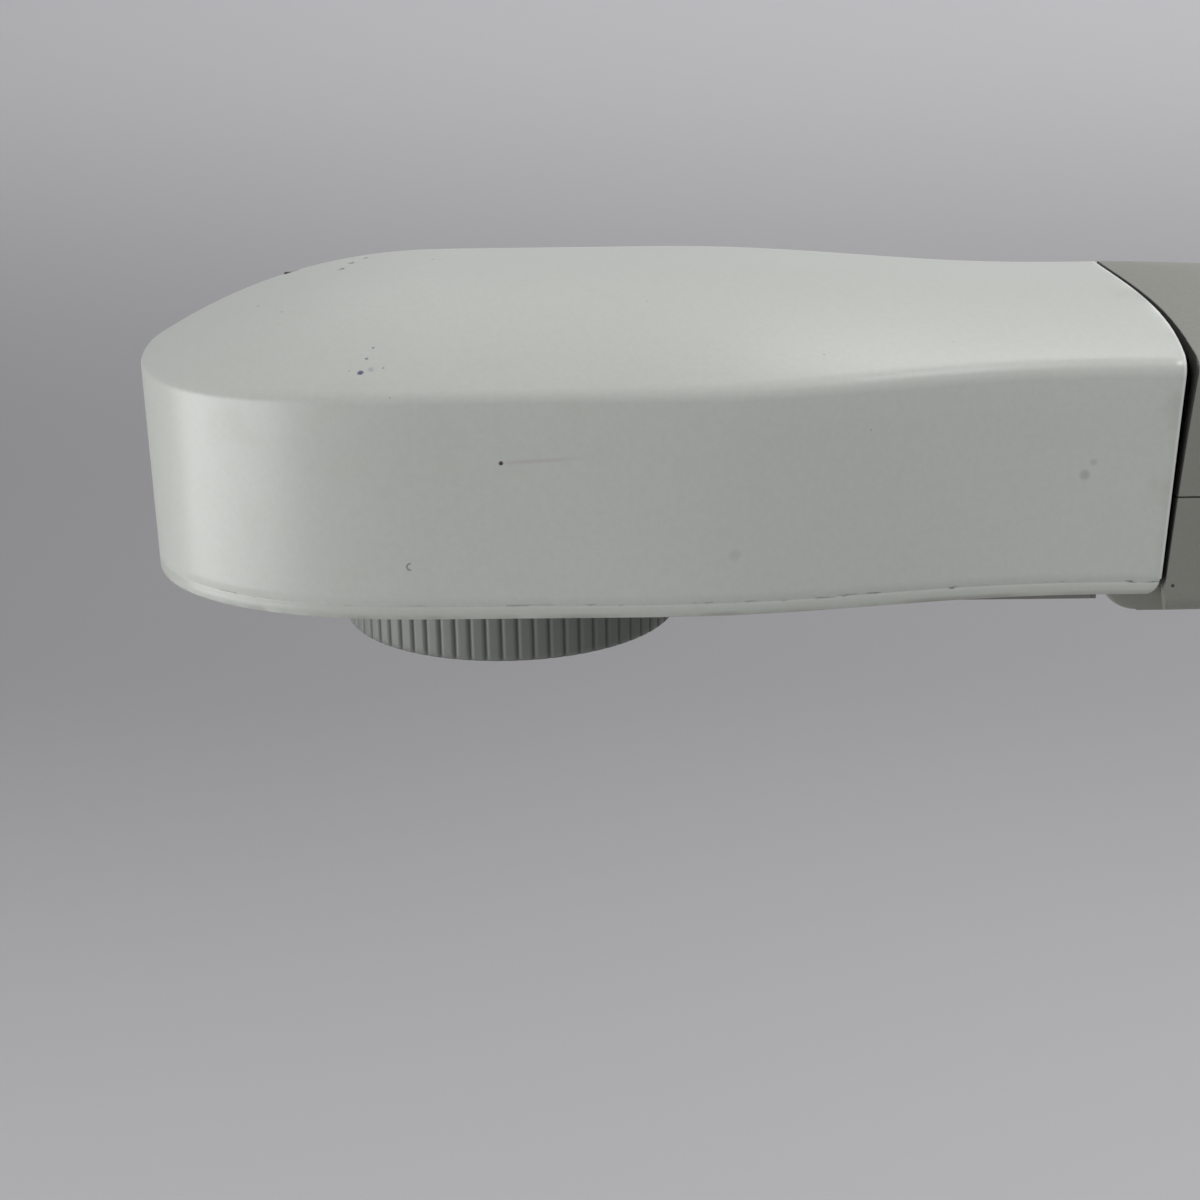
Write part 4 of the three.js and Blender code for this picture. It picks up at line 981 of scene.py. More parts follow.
def lens():
    """Barrel, domed front glass, and the stepped hood behind the glass."""
    outer, inner, mouth, glass_edge = Lens.radius, Lens.inner_radius, Lens.mouth_radius, Lens.glass_radius
    front, rear = Lens.front, Lens.rear
    section = [
        (outer, rear), (outer, front + 0.4), (outer - 0.4, front), (mouth + 0.3, front), (mouth, front + 0.3),
        (mouth, front + 1.2), (inner, front + 1.2), (inner, rear), (outer, rear),
    ]
    barrel = spun("lens_front", section)
    settled(barrel, TO_HEAD, "lens_unit", BLACK_PLASTIC, "black_plastic", ["lens_barrel"])
    dome = [(Lens.dome_radius * k / 12, front + 0.5 + Lens.dome_rise * (k / 12) ** 2) for k in range(13)]
    edge = [(Lens.dome_radius + 0.1, front + 1.5), (glass_edge, front + 1.55), (glass_edge, front + 2.9)]
    glass = spun("lens_window", [*dome, *edge, (0, front + 2.9)])
    settled(glass, TO_HEAD, "lens_unit", GLASS, "lens_glass", ["front_glass"])
    steps = [
        (Lens.hood_bore + Lens.hood_step * k, 2 - Lens.hood_drop * (k + down))
        for k in range(Lens.hood_steps) for down in (0, 1)
    ]
    bore, end, seat = Lens.hood_bore, Lens.hood_rear, front + 3.3
    closing = [(13, seat), (glass_edge, seat), (glass_edge, end), (bore, end)]
    hood = spun("lens_hood", [(bore, end), *steps, *closing])
    settled(hood, TO_HEAD, "lens_unit", BLACK_PLASTIC, "black_plastic", ["lens_cell"])


def lamp_window():
    half_x, half_y = Lamp.half_x - GAP, Lamp.half_y - GAP
    outline = rounded_rectangle(Lamp.x - half_x, Lamp.x + half_x, -half_y, half_y, Lamp.corner, 8)
    window = rounded(slab("lamp_window", outline, -Cover.drop, Lamp.thick - Cover.drop), 0.3, 3)
    settled(window, TO_HEAD, "head", FROSTED, "frosted_plastic", ["lamp_lens"])


# Screws: one is modelled, and copied to each place
SCREWS = {
    "left_head_screw": "head", "right_head_screw": "head", "left_arm_screw": "arm", "right_arm_screw": "arm",
    "front_left_base_screw": "base", "front_right_base_screw": "base",
    "rear_left_base_screw": "base", "rear_right_base_screw": "base",
}


def screw_pattern():
    """A domed head with a cross pressed into it, on a plain shank."""
    head = [(0, 0.15), (1.2, 0.0), (2.1, 0.25), (2.6, 0.85), (2.7, 1.25), (2.7, 1.6)]
    screw = spun("screw", [*head, (1.25, 1.6), (1.25, 8), (0, 8)], 40)
    arm, half, depth = 1.5, 0.35, 0.85
    slots = [block("slot", (-x, -y, -OVERRUN), (x, y, depth)) for x, y in ((arm, half), (half, arm))]
    return cut(screw, *slots)


def screws():
    pattern = screw_pattern()
    for node, body in SCREWS.items():
        screw = copy_of(pattern, node.replace("_screw", "_screw_head"))
        if "arm" in node:
            place = TO_MACHINE @ arm_screw_place(1 if "left" in node else -1)
        else:
            low, middle = node_box(node)[0], middle_of(node)
            place = Matrix.Translation((middle.x, middle.y, low.z))
        settled(screw, place, body, ZINC, "zinc", [node])
    bpy.data.objects.remove(pattern)


# Arm
UP = (-sin(Arm.lean), cos(Arm.lean))
OUT = (cos(Arm.lean), sin(Arm.lean))
ELBOW_X = UP[0] * Arm.straight - OUT[0] * Arm.elbow_radius
ELBOW_Z = PIVOT.z + UP[1] * Arm.straight - OUT[1] * Arm.elbow_radius
ELBOW_LENGTH = Arm.elbow_radius * (pi / 2 - Arm.lean)
SEAM_X = ELBOW_X - Arm.neck
ARM_LENGTH = Arm.neck + ELBOW_LENGTH + Arm.straight
CROWN_AT_SEAM = Head.height - Head.neck_drop - Arm.split_rise
CREST_AT_SEAM = CROWN_AT_SEAM - Head.neck_half_width**2 / (2 * Head.crown_radius)


def station(s):
    """A place on the arm's parting line and the direction out of it."""
    if s <= Arm.neck:
        return SEAM_X + s, ELBOW_Z + Arm.elbow_radius, 0, 1
    bent = s - Arm.neck
    if bent <= ELBOW_LENGTH:
        a = pi / 2 - bent / Arm.elbow_radius
        return ELBOW_X + Arm.elbow_radius * cos(a), ELBOW_Z + Arm.elbow_radius * sin(a), cos(a), sin(a)
    left = ARM_LENGTH - s
    return UP[0] * left, PIVOT.z + UP[1] * left, *OUT


def arm_point(s, v, h):
    x, z, nx, nz = station(s)
    return x + nx * h, v, z + nz * h


def arm_size(s):
    """Half width, depth, crest height and crown height of the arm, from the seam down to the foot."""
    at_seam = (Head.neck_half_width, Arm.split_rise + Arm.drop, CREST_AT_SEAM, CROWN_AT_SEAM)
    at_foot = (Arm.foot_half_width, Arm.foot_depth, Arm.foot_crest, Arm.foot_crown)
    return [between(a, b, clamp(s / ARM_LENGTH)) for a, b in zip(at_seam, at_foot)]


def arm_section(s, inset):
    """The arm's closed section, from its lower right corner up the side, over the crown and down again."""
    half, depth, crest, crown = arm_size(s)
    low = Arm.corner_radius - inset / 2
    high = Arm.crest_radius - inset / 2
    inner_half = half - inset
    rim = inner_half - high

    def wide(h):
        return inner_half + (h + Arm.split_rise) * tan(Head.draft)

    def skin(v):
        return crown - (crown - crest) * (v / half) ** 2 - inset

    right = arc(inner_half - low, inset - depth + low, low, -90, 0, 5)
    start, end = right[-1][1], crest - inset - high
    for k in range(1, 7):
        h = between(start, end, k / 6)
        right.append((between(inner_half, wide(h), k / 6), h))
    knee = (right[-1], (wide(crest - inset), crest - inset), (rim, skin(rim)))
    right += [bend(*knee, k / 6) for k in range(1, 7)]
    right += [(rim * (1 - k / 9), skin(rim * (1 - k / 9))) for k in range(1, 9)]
    return [*right, (0, skin(0)), *[(-v, h) for v, h in reversed(right)]]


def arm_stations(start):
    elbow = [Arm.neck + ELBOW_LENGTH * k / 32 for k in range(33)]
    straight = [Arm.neck + ELBOW_LENGTH + Arm.straight * k / 10 for k in range(1, 11)]
    return [start, 0, *elbow, *straight]


def arm_body(name, start, inset):
    return lofted(name, [[arm_point(s, v, h) for v, h in arm_section(s, inset)] for s in arm_stations(start)])


def arm_region(low, high):
    """All that lies between two heights over the arm's parting line."""
    half, reach = Arm.region_half, Arm.region_reach
    outline = [(-half, low), (half, low), (half, high), (-half, high)]
    stations = [-reach, *arm_stations(0)[1:], ARM_LENGTH + reach]
    return lofted("region", [[arm_point(s, v, h) for v, h in outline] for s in stations])


def ahead_of_seam():
    """What lies ahead of the bowed, leaning seam, in the arm's frame."""
    half, steps, front = 50, 40, 60

    def ring(z):
        ys = [half - 2 * half * k / steps for k in range(steps + 1)]
        edge = [(seam_x(y, z, Seam.gap, Seam.spread), y) for y in ys]
        return [(x, y, z) for x, y in [(front, -half), (front, half), *edge]]

    return moved(lofted("ahead", [ring(-THROUGH), ring(Seam.cut_top)]), HEAD_IN_MACHINE)


def arm_shell(name, low, high):
    """One half of the arm's casing, between two heights over the parting line."""
    r, half, z = Arm.knuckle_radius, Arm.foot_half_width, PIVOT.z
    shell = arm_body(name, -14, 0)
    join(shell, rounded(crosswise("knuckle", r, 0, z, -half, half, 128), 1.5, 4))
    bore = crosswise("bore", r - WALL, 0, z, WALL - half, half - WALL, 96)
    hollow = join(arm_body("hollow", -18, WALL), bore)
    cut(shell, hollow, ahead_of_seam(), crosswise("shaft", Arm.shaft_room, 0, z, -THROUGH, THROUGH))
    return combined(shell, [arm_region(low, high)], "INTERSECT")


def arm_outer():
    shell = rounded(arm_shell("arm_back_shell", GAP / 2, 73), 0.3, 2, 50)
    settled(shell, TO_MACHINE, "arm", ARM_PLASTIC, "grey_shell", ["arm_outer_shell"], 40)


def arm_screw_place(side):
    s = ARM_LENGTH * Arm.screw_share
    half, depth = arm_size(s)[:2]
    x, z = station(s)[:2]
    lift = Arm.screw_sink - depth - Lamp.thick - GAP
    turn = Matrix.Rotation(pi / 2 - Arm.lean, 4, "Y")
    place = Matrix.Translation((0, side * half * Arm.screw_side_share, lift))
    return Matrix.Translation((x, 0, z)) @ turn @ place


def fold_rooms():
    """What the folding head sweeps through the arm's front shell, in the head's frame."""
    x, z, start = Head.hinge_x, Head.hinge_z, Hinge.barrel_start
    depth = z + GAP * 2
    path = block("path", (-Hinge.path_length, -THROUGH, -depth), (0, THROUGH, depth))
    moved(path, Matrix.Translation((x, 0, z)) @ Matrix.Rotation(-Hinge.fold, 4, "Y"))
    return [
        path,
        crosswise("knuckle_room", Hinge.knuckle_room, x, z, -start, start),
        block("web_room", (x - Hinge.web_room, -start, -THROUGH), (x + Hinge.barrel_radius, start, z)),
        crosswise("corner_room", depth, x, z, -THROUGH, THROUGH),
    ]


def hinge_barrels():
    """The barrels that hold the head's shaft, each with a root in the arm's floor."""
    x, z, r = Head.hinge_x, Head.hinge_z, Hinge.barrel_radius
    barrels = []
    for near, far in ((-Hinge.barrel_end, -Hinge.barrel_start), (Hinge.barrel_start, Hinge.barrel_end)):
        barrel = rounded(crosswise("barrel", r, x, z, near, far, 96), Hinge.barrel_edge, 3)
        barrels.append(join(barrel, block("root", (x, near, z - r), (x + r, far, z - Hinge.root_rise))))
    return barrels


def arm_inner():
    shell = arm_shell("arm_front_shell", -34, -GAP / 2)
    cut(shell, *[moved(room, HEAD_IN_MACHINE) for room in fold_rooms()])
    for side in (-1, 1):
        well = upright("well", Cover.well_radius, 0, 0, -OVERRUN, Arm.screw_well, 40)
        cut(shell, moved(well, arm_screw_place(side)))
    join(shell, *[moved(barrel, HEAD_IN_MACHINE) for barrel in hinge_barrels()])
    x, z, half = Head.hinge_x, Head.hinge_z, Hinge.cover_half
    bore = crosswise("bore", Hinge.bore, x, z, -THROUGH, THROUGH, 48)
    low, high = (x + Hinge.cover_start, -half, -THROUGH), (x + Hinge.cover_end, half, z - Hinge.cover_drop)
    cut(shell, moved(bore, HEAD_IN_MACHINE), moved(block("cover_room", low, high), HEAD_IN_MACHINE))
    rounded(shell, 0.3, 2, 50)
    settled(shell, TO_MACHINE, "arm", ARM_PLASTIC, "grey_shell", ["arm_inner_shell"], 40)


def shafts():
    for name, radius in (("head", Shaft.head_radius), ("arm", Shaft.arm_radius)):
        node = f"{name}_hinge_shaft"
        low, high = node_box(node)
        middle = middle_of(node)
        shaft = rounded(crosswise(f"{name}_shaft", radius, middle.x, middle.z, low.y, high.y), 0.4, 2)
        settled(shaft, Matrix.Identity(4), "arm", STEEL, "steel", [node])


# Base
def plan_ring(inset, height):
    """The base's outline, moved inwards, with a height that follows X."""
    r = max(Base.corner_radius - inset, WALL)
    rear, side, front = Base.rear - inset - r, Base.half_width - inset - r, inset + r - Base.front
    corners = [(rear, side, 0), (front, side, 90), (front, -side, 180), (rear, -side, 270)]
    ring = [point for x, y, start in corners for point in arc(x, y, r, start, start + 90, 16)]
    return [(px, py, height(px)) for px, py in ring]


def deck_height(x):
    return Base.front_height + tan(Base.slope) * (x + Base.front)


def base_body(name, inset, low):
    """The base's rounded block; its hollow is the same block moved inwards, with a plain lower end."""
    foot, r = Base.bottom_radius, Base.crest_radius - inset
    rings = [plan_ring(inset, lambda x: low)] if inset else []
    for k in range(0 if inset else 5):
        a = pi / 2 * k / 4
        rings.append(plan_ring(foot * (1 - sin(a)), lambda x, a=a: low + foot * (1 - cos(a))))
    for k in range(9):
        a = pi / 2 * k / 8
        drop = inset + r * (1 - sin(a))
        rings.append(plan_ring(inset + r * (1 - cos(a)), lambda x, drop=drop: deck_height(x) - drop))
    return lofted(name, rings)


def cheek_body(side, inset):
    """A cheek beside the arm's foot: a round top on straight sides that run down to the base."""
    r, foot = Cheek.radius - inset, Cheek.foot_half - inset
    low = Base.front_height / 2
    drop = PIVOT.z - low
    turn = degrees(acos(r / hypot(foot, drop)) - atan2(drop, foot))
    outline = [(-foot, low), (foot, low), *arc(0, PIVOT.z, r, turn, 180 - turn, 40)]
    near, far = sorted((side * (Cheek.inner + inset), side * (Cheek.outer - inset)))
    cheek = side_slab("cheek", outline, near, far)
    return cheek if inset else rounded(cheek, Cheek.edge_radius, 5, 50)


# Each key: place along and across the panel as shares, and its radius if it is round
KEY_SHARES = {
    "power_button": (0.3, 0.8, 7), "source_button": (0.73, 0.8, 0), "lamp_button": (0.73, 0.5, 0),
    "freeze_button": (0.73, 0.2, 0), "zoom_out_button": (0.3, 0.5, 0), "zoom_in_button": (0.3, 0.2, 0),
    "focus_button": (0.73, -0.1, 0), "enter_button": (0.5, -0.6, 8.7), "direction_pad": (0.5, -0.6, 20),
}


def key_place(name):
    along, across, radius = KEY_SHARES[name]
    return between(Panel.start, Panel.end, along), Panel.half * across, radius


def key_slab(name, grow, low, high):
    x, y, radius = key_place(name)
    if radius:
        return upright("key", radius + grow, x, y, low, high, 96)
    hx, hy = Key.half[0] + grow, Key.half[1] + grow
    return slab("key", rounded_rectangle(x - hx, x + hx, y - hy, y + hy, Key.corner + grow, 8), low, high)


def key_holes(place):
    """Holes for the keys; the enter key moves in the middle of the direction pad and needs none."""
    names = [name for name in KEY_SHARES if name != "enter_button"]
    return [moved(key_slab(name, GAP, -Panel.hole_reach, Panel.hole_reach), place) for name in names]


def opening(node, wall_x):
    """A hole in an upright wall of the base, round a socket or window of the frame."""
    low, high = node_box(node, PIVOT.x)
    reach = Base.mouth_reach
    start = (wall_x - reach, low.y - GAP, low.z - GAP)
    end = (wall_x + reach, high.y + GAP, high.z + GAP)
    return block("mouth", start, end)


def base_shell():
    """The base's top shell with its cheeks, hollow, with a pocket for the panel and openings in its walls."""
    shell = base_body("base_shell", 0, Base.clearance)
    join(shell, *[cheek_body(side, 0) for side in (-1, 1)])
    hollow = join(base_body("hollow", WALL, -2), *[cheek_body(side, WALL) for side in (-1, 1)])
    deck = TO_MACHINE.inverted() @ TO_DECK
    start, end, half, corner = Panel.start - GAP, Panel.end + GAP, Panel.half + GAP, Panel.corner + GAP
    outline = rounded_rectangle(start, end, -half, half, corner)
    pocket = slab("pocket", outline, -Panel.thick - GAP, Panel.pocket_rise)
    cut(shell, hollow, moved(pocket, deck), *key_holes(deck))
    cut(shell, *[opening(node, Base.rear) for node in SOCKETS], opening("infrared_window", -Base.front))
    shaft_end = Cheek.outer + Cheek.bore_overrun
    cut(shell, crosswise("shaft", Arm.shaft_room, 0, PIVOT.z, -shaft_end, shaft_end))
    rounded(shell, Base.edge_radius, 2, 50)
    settled(shell, TO_MACHINE, "base", BASE_PAINT, "white_shell", ["base_top_shell"], 40)


def bottom_plate():
    """The underside, with a field of slots to let air in and bores for the screws."""
    ring = [(x, y) for x, y, _ in plan_ring(WALL + GAP, lambda x: 0)]
    plate = rounded(slab("underside", ring, Base.clearance, Base.clearance + Base.plate_thick), 0.5, 2)
    holes = []
    for x in range(Vent.first, Vent.last + 1, Vent.spacing):
        for side in (-1, 1):
            y, half, length = side * Vent.centre, Vent.half_width, Vent.half_length
            outline = rounded_rectangle(x - half, x + half, y - length, y + length, half * 0.99, 6)
            holes.append(slab("slot", outline, 0, OVERRUN))
    for node in SCREWS:
        if "base" in node:
            middle = middle_of(node)
            holes.append(upright("bore", SCREW_BORE, middle.x - PIVOT.x, middle.y, 0, OVERRUN, 24))
    cut(plate, *holes)
    settled(plate, TO_MACHINE, "base", DARK_PLASTIC, "dark_plastic", ["base_bottom_plate"])


def hinge_caps():
    """Round caps on the outsides of the cheeks, each with a ring pressed into its face."""
    face, pressed = 1.6, 1.3
    dip = [(9.6, face), (10, pressed), (10.6, pressed), (11, face)]
    profile = [(0, face), *dip, (13.9, face), (14.6, 1.35), (15, 0.8), (15, 0), (0, 0)]
    for name, side in (("left_hinge_cap", 1), ("right_hinge_cap", -1)):
        cap = spun(name.replace("_cap", "_cover"), profile)
        turn = Matrix.Rotation(-side * pi / 2, 4, "X")
        moved(cap, Matrix.Translation((0, side * (Cheek.outer + GAP), PIVOT.z)) @ turn)
        settled(cap, TO_MACHINE, "base", ARM_PLASTIC, "grey_shell", [name])


def feet():
    profile = [(0, 0.35), (5.5, 0.35), (5.9, 0), (7.6, 0), (8.5, 0.3), (9, 1), (9, 3.7), (0, 3.7)]
    for node in ("front_left_foot", "front_right_foot", "rear_left_foot", "rear_right_foot"):
        foot = spun(node.replace("_foot", "_rubber"), profile, 64)
        middle = middle_of(node)
        settled(foot, Matrix.Translation((middle.x, middle.y, 0)), "base", RUBBER, "rubber", [node])


def control_panel():
    outline = rounded_rectangle(Panel.start, Panel.end, -Panel.half, Panel.half, Panel.corner, 12)
    panel = cut(slab("panel_plate", outline, -Panel.thick, 0), *key_holes(Matrix.Identity(4)))
    rounded(panel, Panel.edge_radius, 2, 60)
    settled(panel, TO_DECK, "base", DARK_PLASTIC, "dark_plastic", ["control_panel"])


def keys():
    """Each key with its flange under the panel, and the pad with a dish for the enter key."""
    flange_top = -WALL - GAP
    low = flange_top - Key.flange_thick
    for name in KEY_SHARES:
        x, y, _ = key_place(name)
        key = rounded(key_slab(name, 0, low, Key.rise), Key.edge_radius, 4, 60)
        if name != "enter_button":
            join(key, key_slab(name, Key.flange, low, flange_top))
        if name == "direction_pad":
            bore, rim = Key.pad_bore, Key.pad_bore + Key.pad_dish
            walls = [(bore, -OVERRUN), (bore, 0.9), (rim, 1.5), (rim, OVERRUN)]
            dish = spun("dish", [(0, -OVERRUN), *walls, (0, OVERRUN)])
            cut(key, moved(dish, Matrix.Translation((x, y, 0))))
        power = name == "power_button"
        finish, slot = (BASE_PAINT, "white_shell") if power else (KEY_PLASTIC, "grey_shell")
        settled(key, TO_DECK, BODIES[name], finish, slot, [name])
        key.name = name.replace("_button", "_key") + "_top"
        mark(name, x, y)


# Signs on the keys, printed as thin ink
def inked(piece, x, y, turn=0.0):
    return moved(piece, Matrix.Translation((x, y, Key.rise)) @ Matrix.Rotation(turn, 4, "Z"))


def bar(x, y, half_x, half_y, turn=0.0):
    return inked(block("bar", (-half_x, -half_y, 0), (half_x, half_y, Key.ink)), x, y, turn)


def hoop(x, y, radius, width):
    inner = radius - width
    band = [(inner, 0), (radius, 0), (radius, Key.ink), (inner, Key.ink), (inner, 0)]
    return inked(spun("hoop", band, 64), x, y)


def arrow(x, y, turn):
    return inked(slab("arrow", [(1.9, 0), (-1.1, 2), (-1.1, -2)], 0, Key.ink), x, y, turn)


def power_sign(x, y):
    gap = block("gap", (x, y - 0.9, 0), (x + 5, y + 0.9, 3))
    return [cut(hoop(x, y, 3, 0.6), gap), bar(x + 2, y, 1.6, 0.3)]


def source_sign(x, y):
    return [bar(x, y - 2.4, 1.8, 0.3), bar(x, y + 2.4, 1.8, 0.3), arrow(x, y, -pi / 2)]


def lamp_sign(x, y):
    middle = hoop(x, y, 1.4, 0.5)
    return [middle, *[bar(x + 2.5 * cos(a), y + 2.5 * sin(a), 0.6, 0.22, a) for a in EIGHTHS]]


def pad_sign(x, y):
    return [arrow(x + Key.arrow_reach * cos(a), y + Key.arrow_reach * sin(a), a) for a in EIGHTHS[::2]]


SIGNS = {
    "power_button": power_sign,
    "source_button": source_sign,
    "lamp_button": lamp_sign,
    "freeze_button": lambda x, y: [bar(x, y - 1.1, 2, 0.5), bar(x, y + 1.1, 2, 0.5)],
    "zoom_out_button": lambda x, y: [bar(x, y, 0.35, 2.2)],
    "zoom_in_button": lambda x, y: [join(bar(x, y, 0.35, 2.2), bar(x, y, 2.2, 0.35))],
    "focus_button": lambda x, y: [hoop(x, y, 2.6, 0.5), hoop(x, y, 0.9, 0.8)],
    "enter_button": lambda x, y: [hoop(x, y, 3, 0.6)],
    "direction_pad": pad_sign,
}


def mark(name, x, y):
    """A plain sign printed on a button."""
    ink, slot = (DARK_INK, "dark_plastic") if name == "power_button" else (INK, "white_shell")
    for k, piece in enumerate(SIGNS[name](x, y)):
        piece.name = f"{name}_sign_{k + 1}"
        settled(piece, TO_DECK, BODIES[name], ink, slot)


# Rear sockets: each block from the frame with its corners rounded, and the contacts inside its mouth
# Each socket: half width and height of its mouth, and its rim below the mouth
SOCKETS = {
    "power_socket": (3.2, 6.4, 1.8), "video_out_socket": (12.5, 8, 2), "video_in_socket": (12.5, 8, 2),
    "usb_b_socket": (4.2, 7.6, 1.8), "usb_a_socket": (6.2, 5.2, 1.2),
}
SOCKET_DEPTH = 9


def soften(node, material, slot, width):
    """Keeps a piece of the frame, merges its loose triangles and rounds its edges."""
    piece = frame["nodes"][node]
    piece.modifiers.new("weld", "WELD").merge_threshold = 0.01 * MM
    bevel = piece.modifiers.new("bevel", "BEVEL")
    bevel.width, bevel.segments, bevel.limit_method, bevel.angle_limit = width * MM, 2, "ANGLE", radians(40)
    piece.data.materials.clear()
    piece.data.materials.append(material)


def contact(name, piece, material=ZINC, slot="zinc"):
    piece.name = name
    settled(piece, Matrix.Identity(4), "base", material, slot)


def lengthwise(name, radius, back, y, z, start, end, sides=64):
    """A rod along a socket's axis, between two distances from the back of its mouth."""
    return rod(name, radius, (back + start, y, z), (back + end, y, z), sides)


def video_plate(y, z, grow, start, end):
    """A plate with slanted ends, as the mouth of a video plug."""
    wide, slant, tall = 8.6 + grow, 1.2, 3.4 + grow
    narrow = wide - slant
    outline = [(y - narrow, z - tall), (y + narrow, z - tall), (y + wide, z + tall), (y - wide, z + tall)]
    return lofted("plate", [[(x, py, pz) for py, pz in outline] for x in (start, end)])


def video_contacts(short, y, z, back):
    """A metal surround with slanted ends, a dark insulator with three rows of holes, and two posts."""
    room = rounded(video_plate(y, z, -0.45, back - 1, back + SOCKET_DEPTH), 0.6, 3)
    contact(f"{short}_surround", cut(rounded(video_plate(y, z, 0, back, back + 5.6), 0.8, 3), room))
    pitch, row_rise, shift = 2.2, 1.7, 0.9
    holes = []
    for row in range(3):
        for k in range(5):
            hole_y = y + pitch * (k - 2) + (shift if row == 1 else 0)
            hole_z = z + row_rise * (row - 1)
            holes.append(lengthwise("hole", 0.42, back, hole_y, hole_z, 2, SOCKET_DEPTH, 12))
    insert = cut(video_plate(y, z, -0.75, back, back + 4.4), *holes)
    contact(f"{short}_insert", insert, BLUE_PLASTIC, "dark_plastic")
    for name, post_y in (("right", y - 10.6), ("left", y + 10.6)):
        post = lengthwise(f"{short}_post", 1.5, back, post_y, z, 0, 6, 6)
        cut(post, lengthwise("bore", 0.9, back, post_y, z, 2, SOCKET_DEPTH, 24))
        contact(f"{short}_post_{name}", rounded(post, 0.12, 2))


def power_contacts(y, z, back):
    contact("power_pin", rounded(lengthwise("pin", 0.9, back, y, z, 0, 6.5, 32), 0.35, 3))
    bore = lengthwise("bore", 2.6, back, y, z, -1, SOCKET_DEPTH)
    contact("power_lining", cut(lengthwise("lining", 3.0, back, y, z, 0, 8), bore))


def metal_lining(name, half, height, wall, y, z, back):
    """A thin metal box open at both ends, just inside a socket's mouth."""
    low = Vector((back, y - half + 0.05, z - height / 2 + 0.05))
    high = Vector((back + 8.4, y + half - 0.05, z + height / 2 - 0.05))
    inset = Vector((0, wall - 0.05, wall - 0.05))
    room = block("room", low + inset - Vector((1, 0, 0)), high - inset + Vector((0.6, 0, 0)))
    contact(name, cut(block("box", low, high), room))


def usb_b_contacts(y, z, back):
    tongue = block("tongue", (back, y - 2.6, z - 1.5), (back + 6.8, y + 2.6, z + 1.7))
    contact("usb_b_tongue", rounded(tongue, 0.3, 2), KEY_PLASTIC, "grey_shell")
    half, height, _ = SOCKETS["usb_b_socket"]
    metal_lining("usb_b_shell", half, height, 0.4, y, z, back)


def usb_a_contacts(y, z, back):
    half, height, _ = SOCKETS["usb_a_socket"]
    tongue = block("tongue", (back, y - half + 1, z + 0.1), (back + 7.4, y + half - 1, z + 1.9))
    contact("usb_a_tongue", rounded(tongue, 0.25, 2), KEY_PLASTIC, "grey_shell")
    metal_lining("usb_a_shell", half, height, 0.35, y, z, back)


def sockets():
    single = {"power_socket": power_contacts, "usb_b_socket": usb_b_contacts, "usb_a_socket": usb_a_contacts}
    for node, (_, height, rim) in SOCKETS.items():
        soften(node, BLACK_PLASTIC, "black_plastic", 0.3)
        low, high = node_box(node)
        y, z, back = (low.y + high.y) / 2, low.z + rim + height / 2, high.x - SOCKET_DEPTH
        if node in single:
            single[node](y, z, back)
        else:
            video_contacts(node.replace("_socket", ""), y, z, back)


# Pieces of the frame that stay, with rounded edges
KEPT = {
    "head_frame": (BLACK_PLASTIC, "black_plastic"), "lamp_board": (BOARD, "circuit_board"),
    "head_main_board": (BOARD, "circuit_board"), "microphone": (ZINC, "zinc"),
    "ring_retainer": (DARK_PLASTIC, "dark_plastic"), "sensor_board": (BOARD, "circuit_board"),
    "arm_channel": (STEEL, "steel"), "arm_cable": (DARK_PLASTIC, "dark_plastic"),
    "left_friction_washer": (ZINC, "zinc"), "right_friction_washer": (ZINC, "zinc"),
    "ballast_plate": (STEEL, "steel"), "arm_bracket": (STEEL, "steel"),
    "counterbalance_spring": (ZINC, "zinc"),
    "base_main_board": (BOARD, "circuit_board"), "socket_board": (BOARD, "circuit_board"),
    "infrared_window": (WINDOW, "dark_window"), "button_board": (BOARD, "circuit_board"),
}

PIECES = [
    head_shell, indicator, head_cover, lens_ring, lens, lamp_window, screws, arm_outer, arm_inner, shafts,
    base_shell, bottom_plate, hinge_caps, feet, control_panel, keys, sockets,
]
for make in PIECES:
    make()
for node, (material, slot) in KEPT.items():
    soften(node, material, slot, 0.15)


# Stage, light and camera, in metres
class Stage:
    half_width = 5
    front = -1.6
    run = 2.6
    bend_radius = 0.8
    rise = 2.5
    run_share = 0.6
    bend_share = 0.2
    color = (0.4, 0.395, 0.405)


def stage():
    """A floor that bends up into a wall, with painted light: lighter on the wall and on the floor behind the
    object.
    """
    bpy.ops.object.select_all(action="DESELECT")
    bpy.ops.mesh.primitive_grid_add(x_subdivisions=2, y_subdivisions=60, size=2)
    floor = named("floor")
    wall_start = Stage.run_share + Stage.bend_share
    for vertex in floor.data.vertices:
        t = (vertex.co.y + 1) / 2
        a = pi / 2 * clamp((t - Stage.run_share) / Stage.bend_share)
        y = Stage.front + Stage.run * clamp(t / Stage.run_share) + sin(a) * Stage.bend_radius
        z = Stage.bend_radius * (1 - cos(a)) + Stage.rise * clamp((t - wall_start) / (1 - wall_start))
        vertex.co = (vertex.co.x * Stage.half_width, y, z)
    bpy.ops.object.shade_smooth()
    paint = Paint("floor_paint", Stage.color, 0.9)
    y = paint.axis("Y")
    wall_share = paint.axis("Z").step(50, 500)
    near_share = y.step(1100, 200) * y.step(-200, 300)
    # Painted light: the wall and the floor behind the object are painted lighter.
    share = paint.noise(1.1, 1) * 0.12 + wall_share * 0.9 + near_share * 0.36
    paint.set("Base Color", paint.shade(1.07, 2.1, share))
    floor.data.materials.append(paint.material)


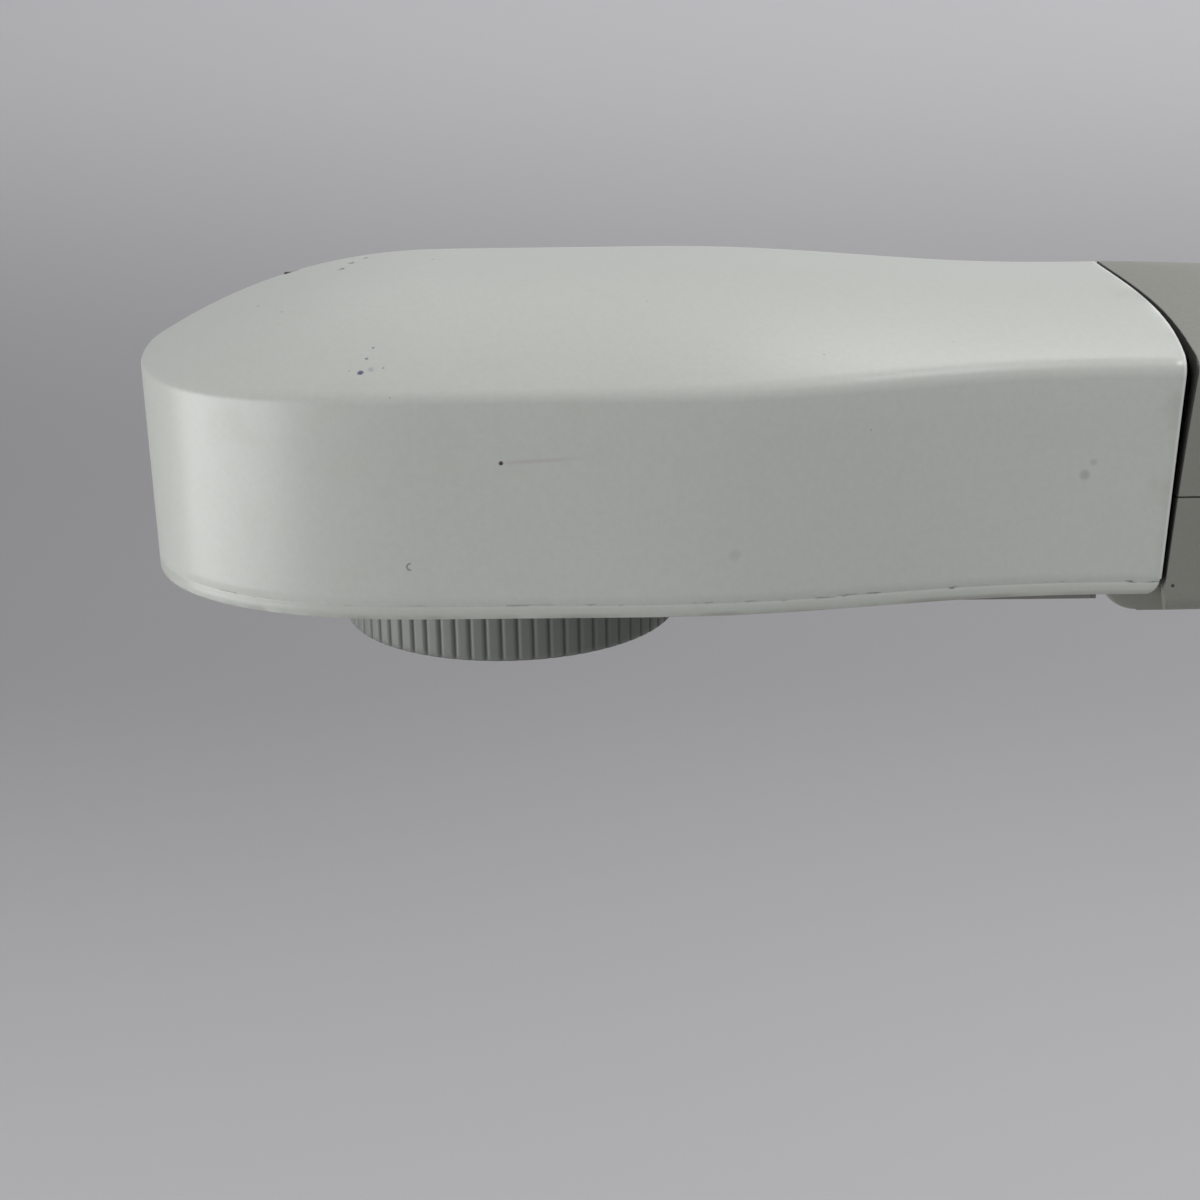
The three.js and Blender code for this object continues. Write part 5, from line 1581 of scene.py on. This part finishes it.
# Each light: width and height, place, and power in watts; all face the head
LIGHTS = {
    "window_light": ((1.2, 0.6), (-1.2, -0.35, 0.2), 9),
    "desk_light": ((0.14, 0.14), (0.42, -0.25, 1.1), 2.4),
    "window_fill": ((0.9, 0.6), (-0.9, -1.2, 0.4), 0.8),
    "wall_light": ((2.2, 0.9), (0.2, 0.85, 1.85), 2.3),
    "ceiling_light": ((0.9, 0.3), (0.45, 0.35, 1.9), 3),
    "room_light": ((1.2, 1.0), (1.3, 0.1, 1.5), 2),
    "far_light": ((1.2, 1.0), (1.2, 1.1, 1.4), 8),
}
ROOM_COLOR = (0.97, 0.98, 1, 1)
ROOM_STRENGTH = 0.3


def lights():
    target = Vector((LENS.x * MM, 0, HEAD_Z * MM))
    for name, (size, place, power) in LIGHTS.items():
        light = bpy.data.lights.new(name, "AREA")
        light.shape, light.size, light.size_y, light.energy = "RECTANGLE", *size, power
        holder = bpy.data.objects.new(name, light)
        holder.location = place
        holder.visible_camera = False
        holder.rotation_euler = (target - Vector(place)).to_track_quat("-Z", "Y").to_euler()
        bpy.context.scene.collection.objects.link(holder)
    world = bpy.data.worlds.new("room")
    world.use_nodes = True
    background = world.node_tree.nodes["Background"].inputs
    background["Color"].default_value = ROOM_COLOR
    background["Strength"].default_value = ROOM_STRENGTH
    bpy.context.scene.world = world


class View:
    """The photograph's camera, found from the outlines of the head, the ring and the seam."""

    eye = (23.68, -342.07, 105.08)
    focal_pixels = 1901
    frame_pixels = 1200
    sensor = 36
    tilt = radians(19)
    turn = radians(1.18)
    roll = radians(-0.94)


def camera():
    """The photograph's viewpoint: the head seen from its right, from a little above."""
    forward = Vector((0, cos(View.tilt), -sin(View.tilt)))
    up = Vector((0, sin(View.tilt), cos(View.tilt)))
    right = Vector((1, 0, 0))
    rolled_right = right * cos(View.roll) + up * sin(View.roll)
    rolled_up = up * cos(View.roll) - right * sin(View.roll)
    turned = Matrix.Rotation(View.turn, 3, "Z") @ Matrix((rolled_right, rolled_up, -forward)).transposed()
    data = bpy.data.cameras.new("camera")
    data.sensor_width = View.sensor
    data.lens = View.sensor * View.focal_pixels / View.frame_pixels
    data.clip_start = 0.01
    holder = bpy.data.objects.new("camera", data)
    holder.matrix_world = Matrix.Translation(head_spot(View.eye)) @ turned.to_4x4()
    bpy.context.scene.collection.objects.link(holder)
    bpy.context.scene.camera = holder


stage()
lights()
camera()
bpy.context.scene.view_settings.view_transform = "Standard"
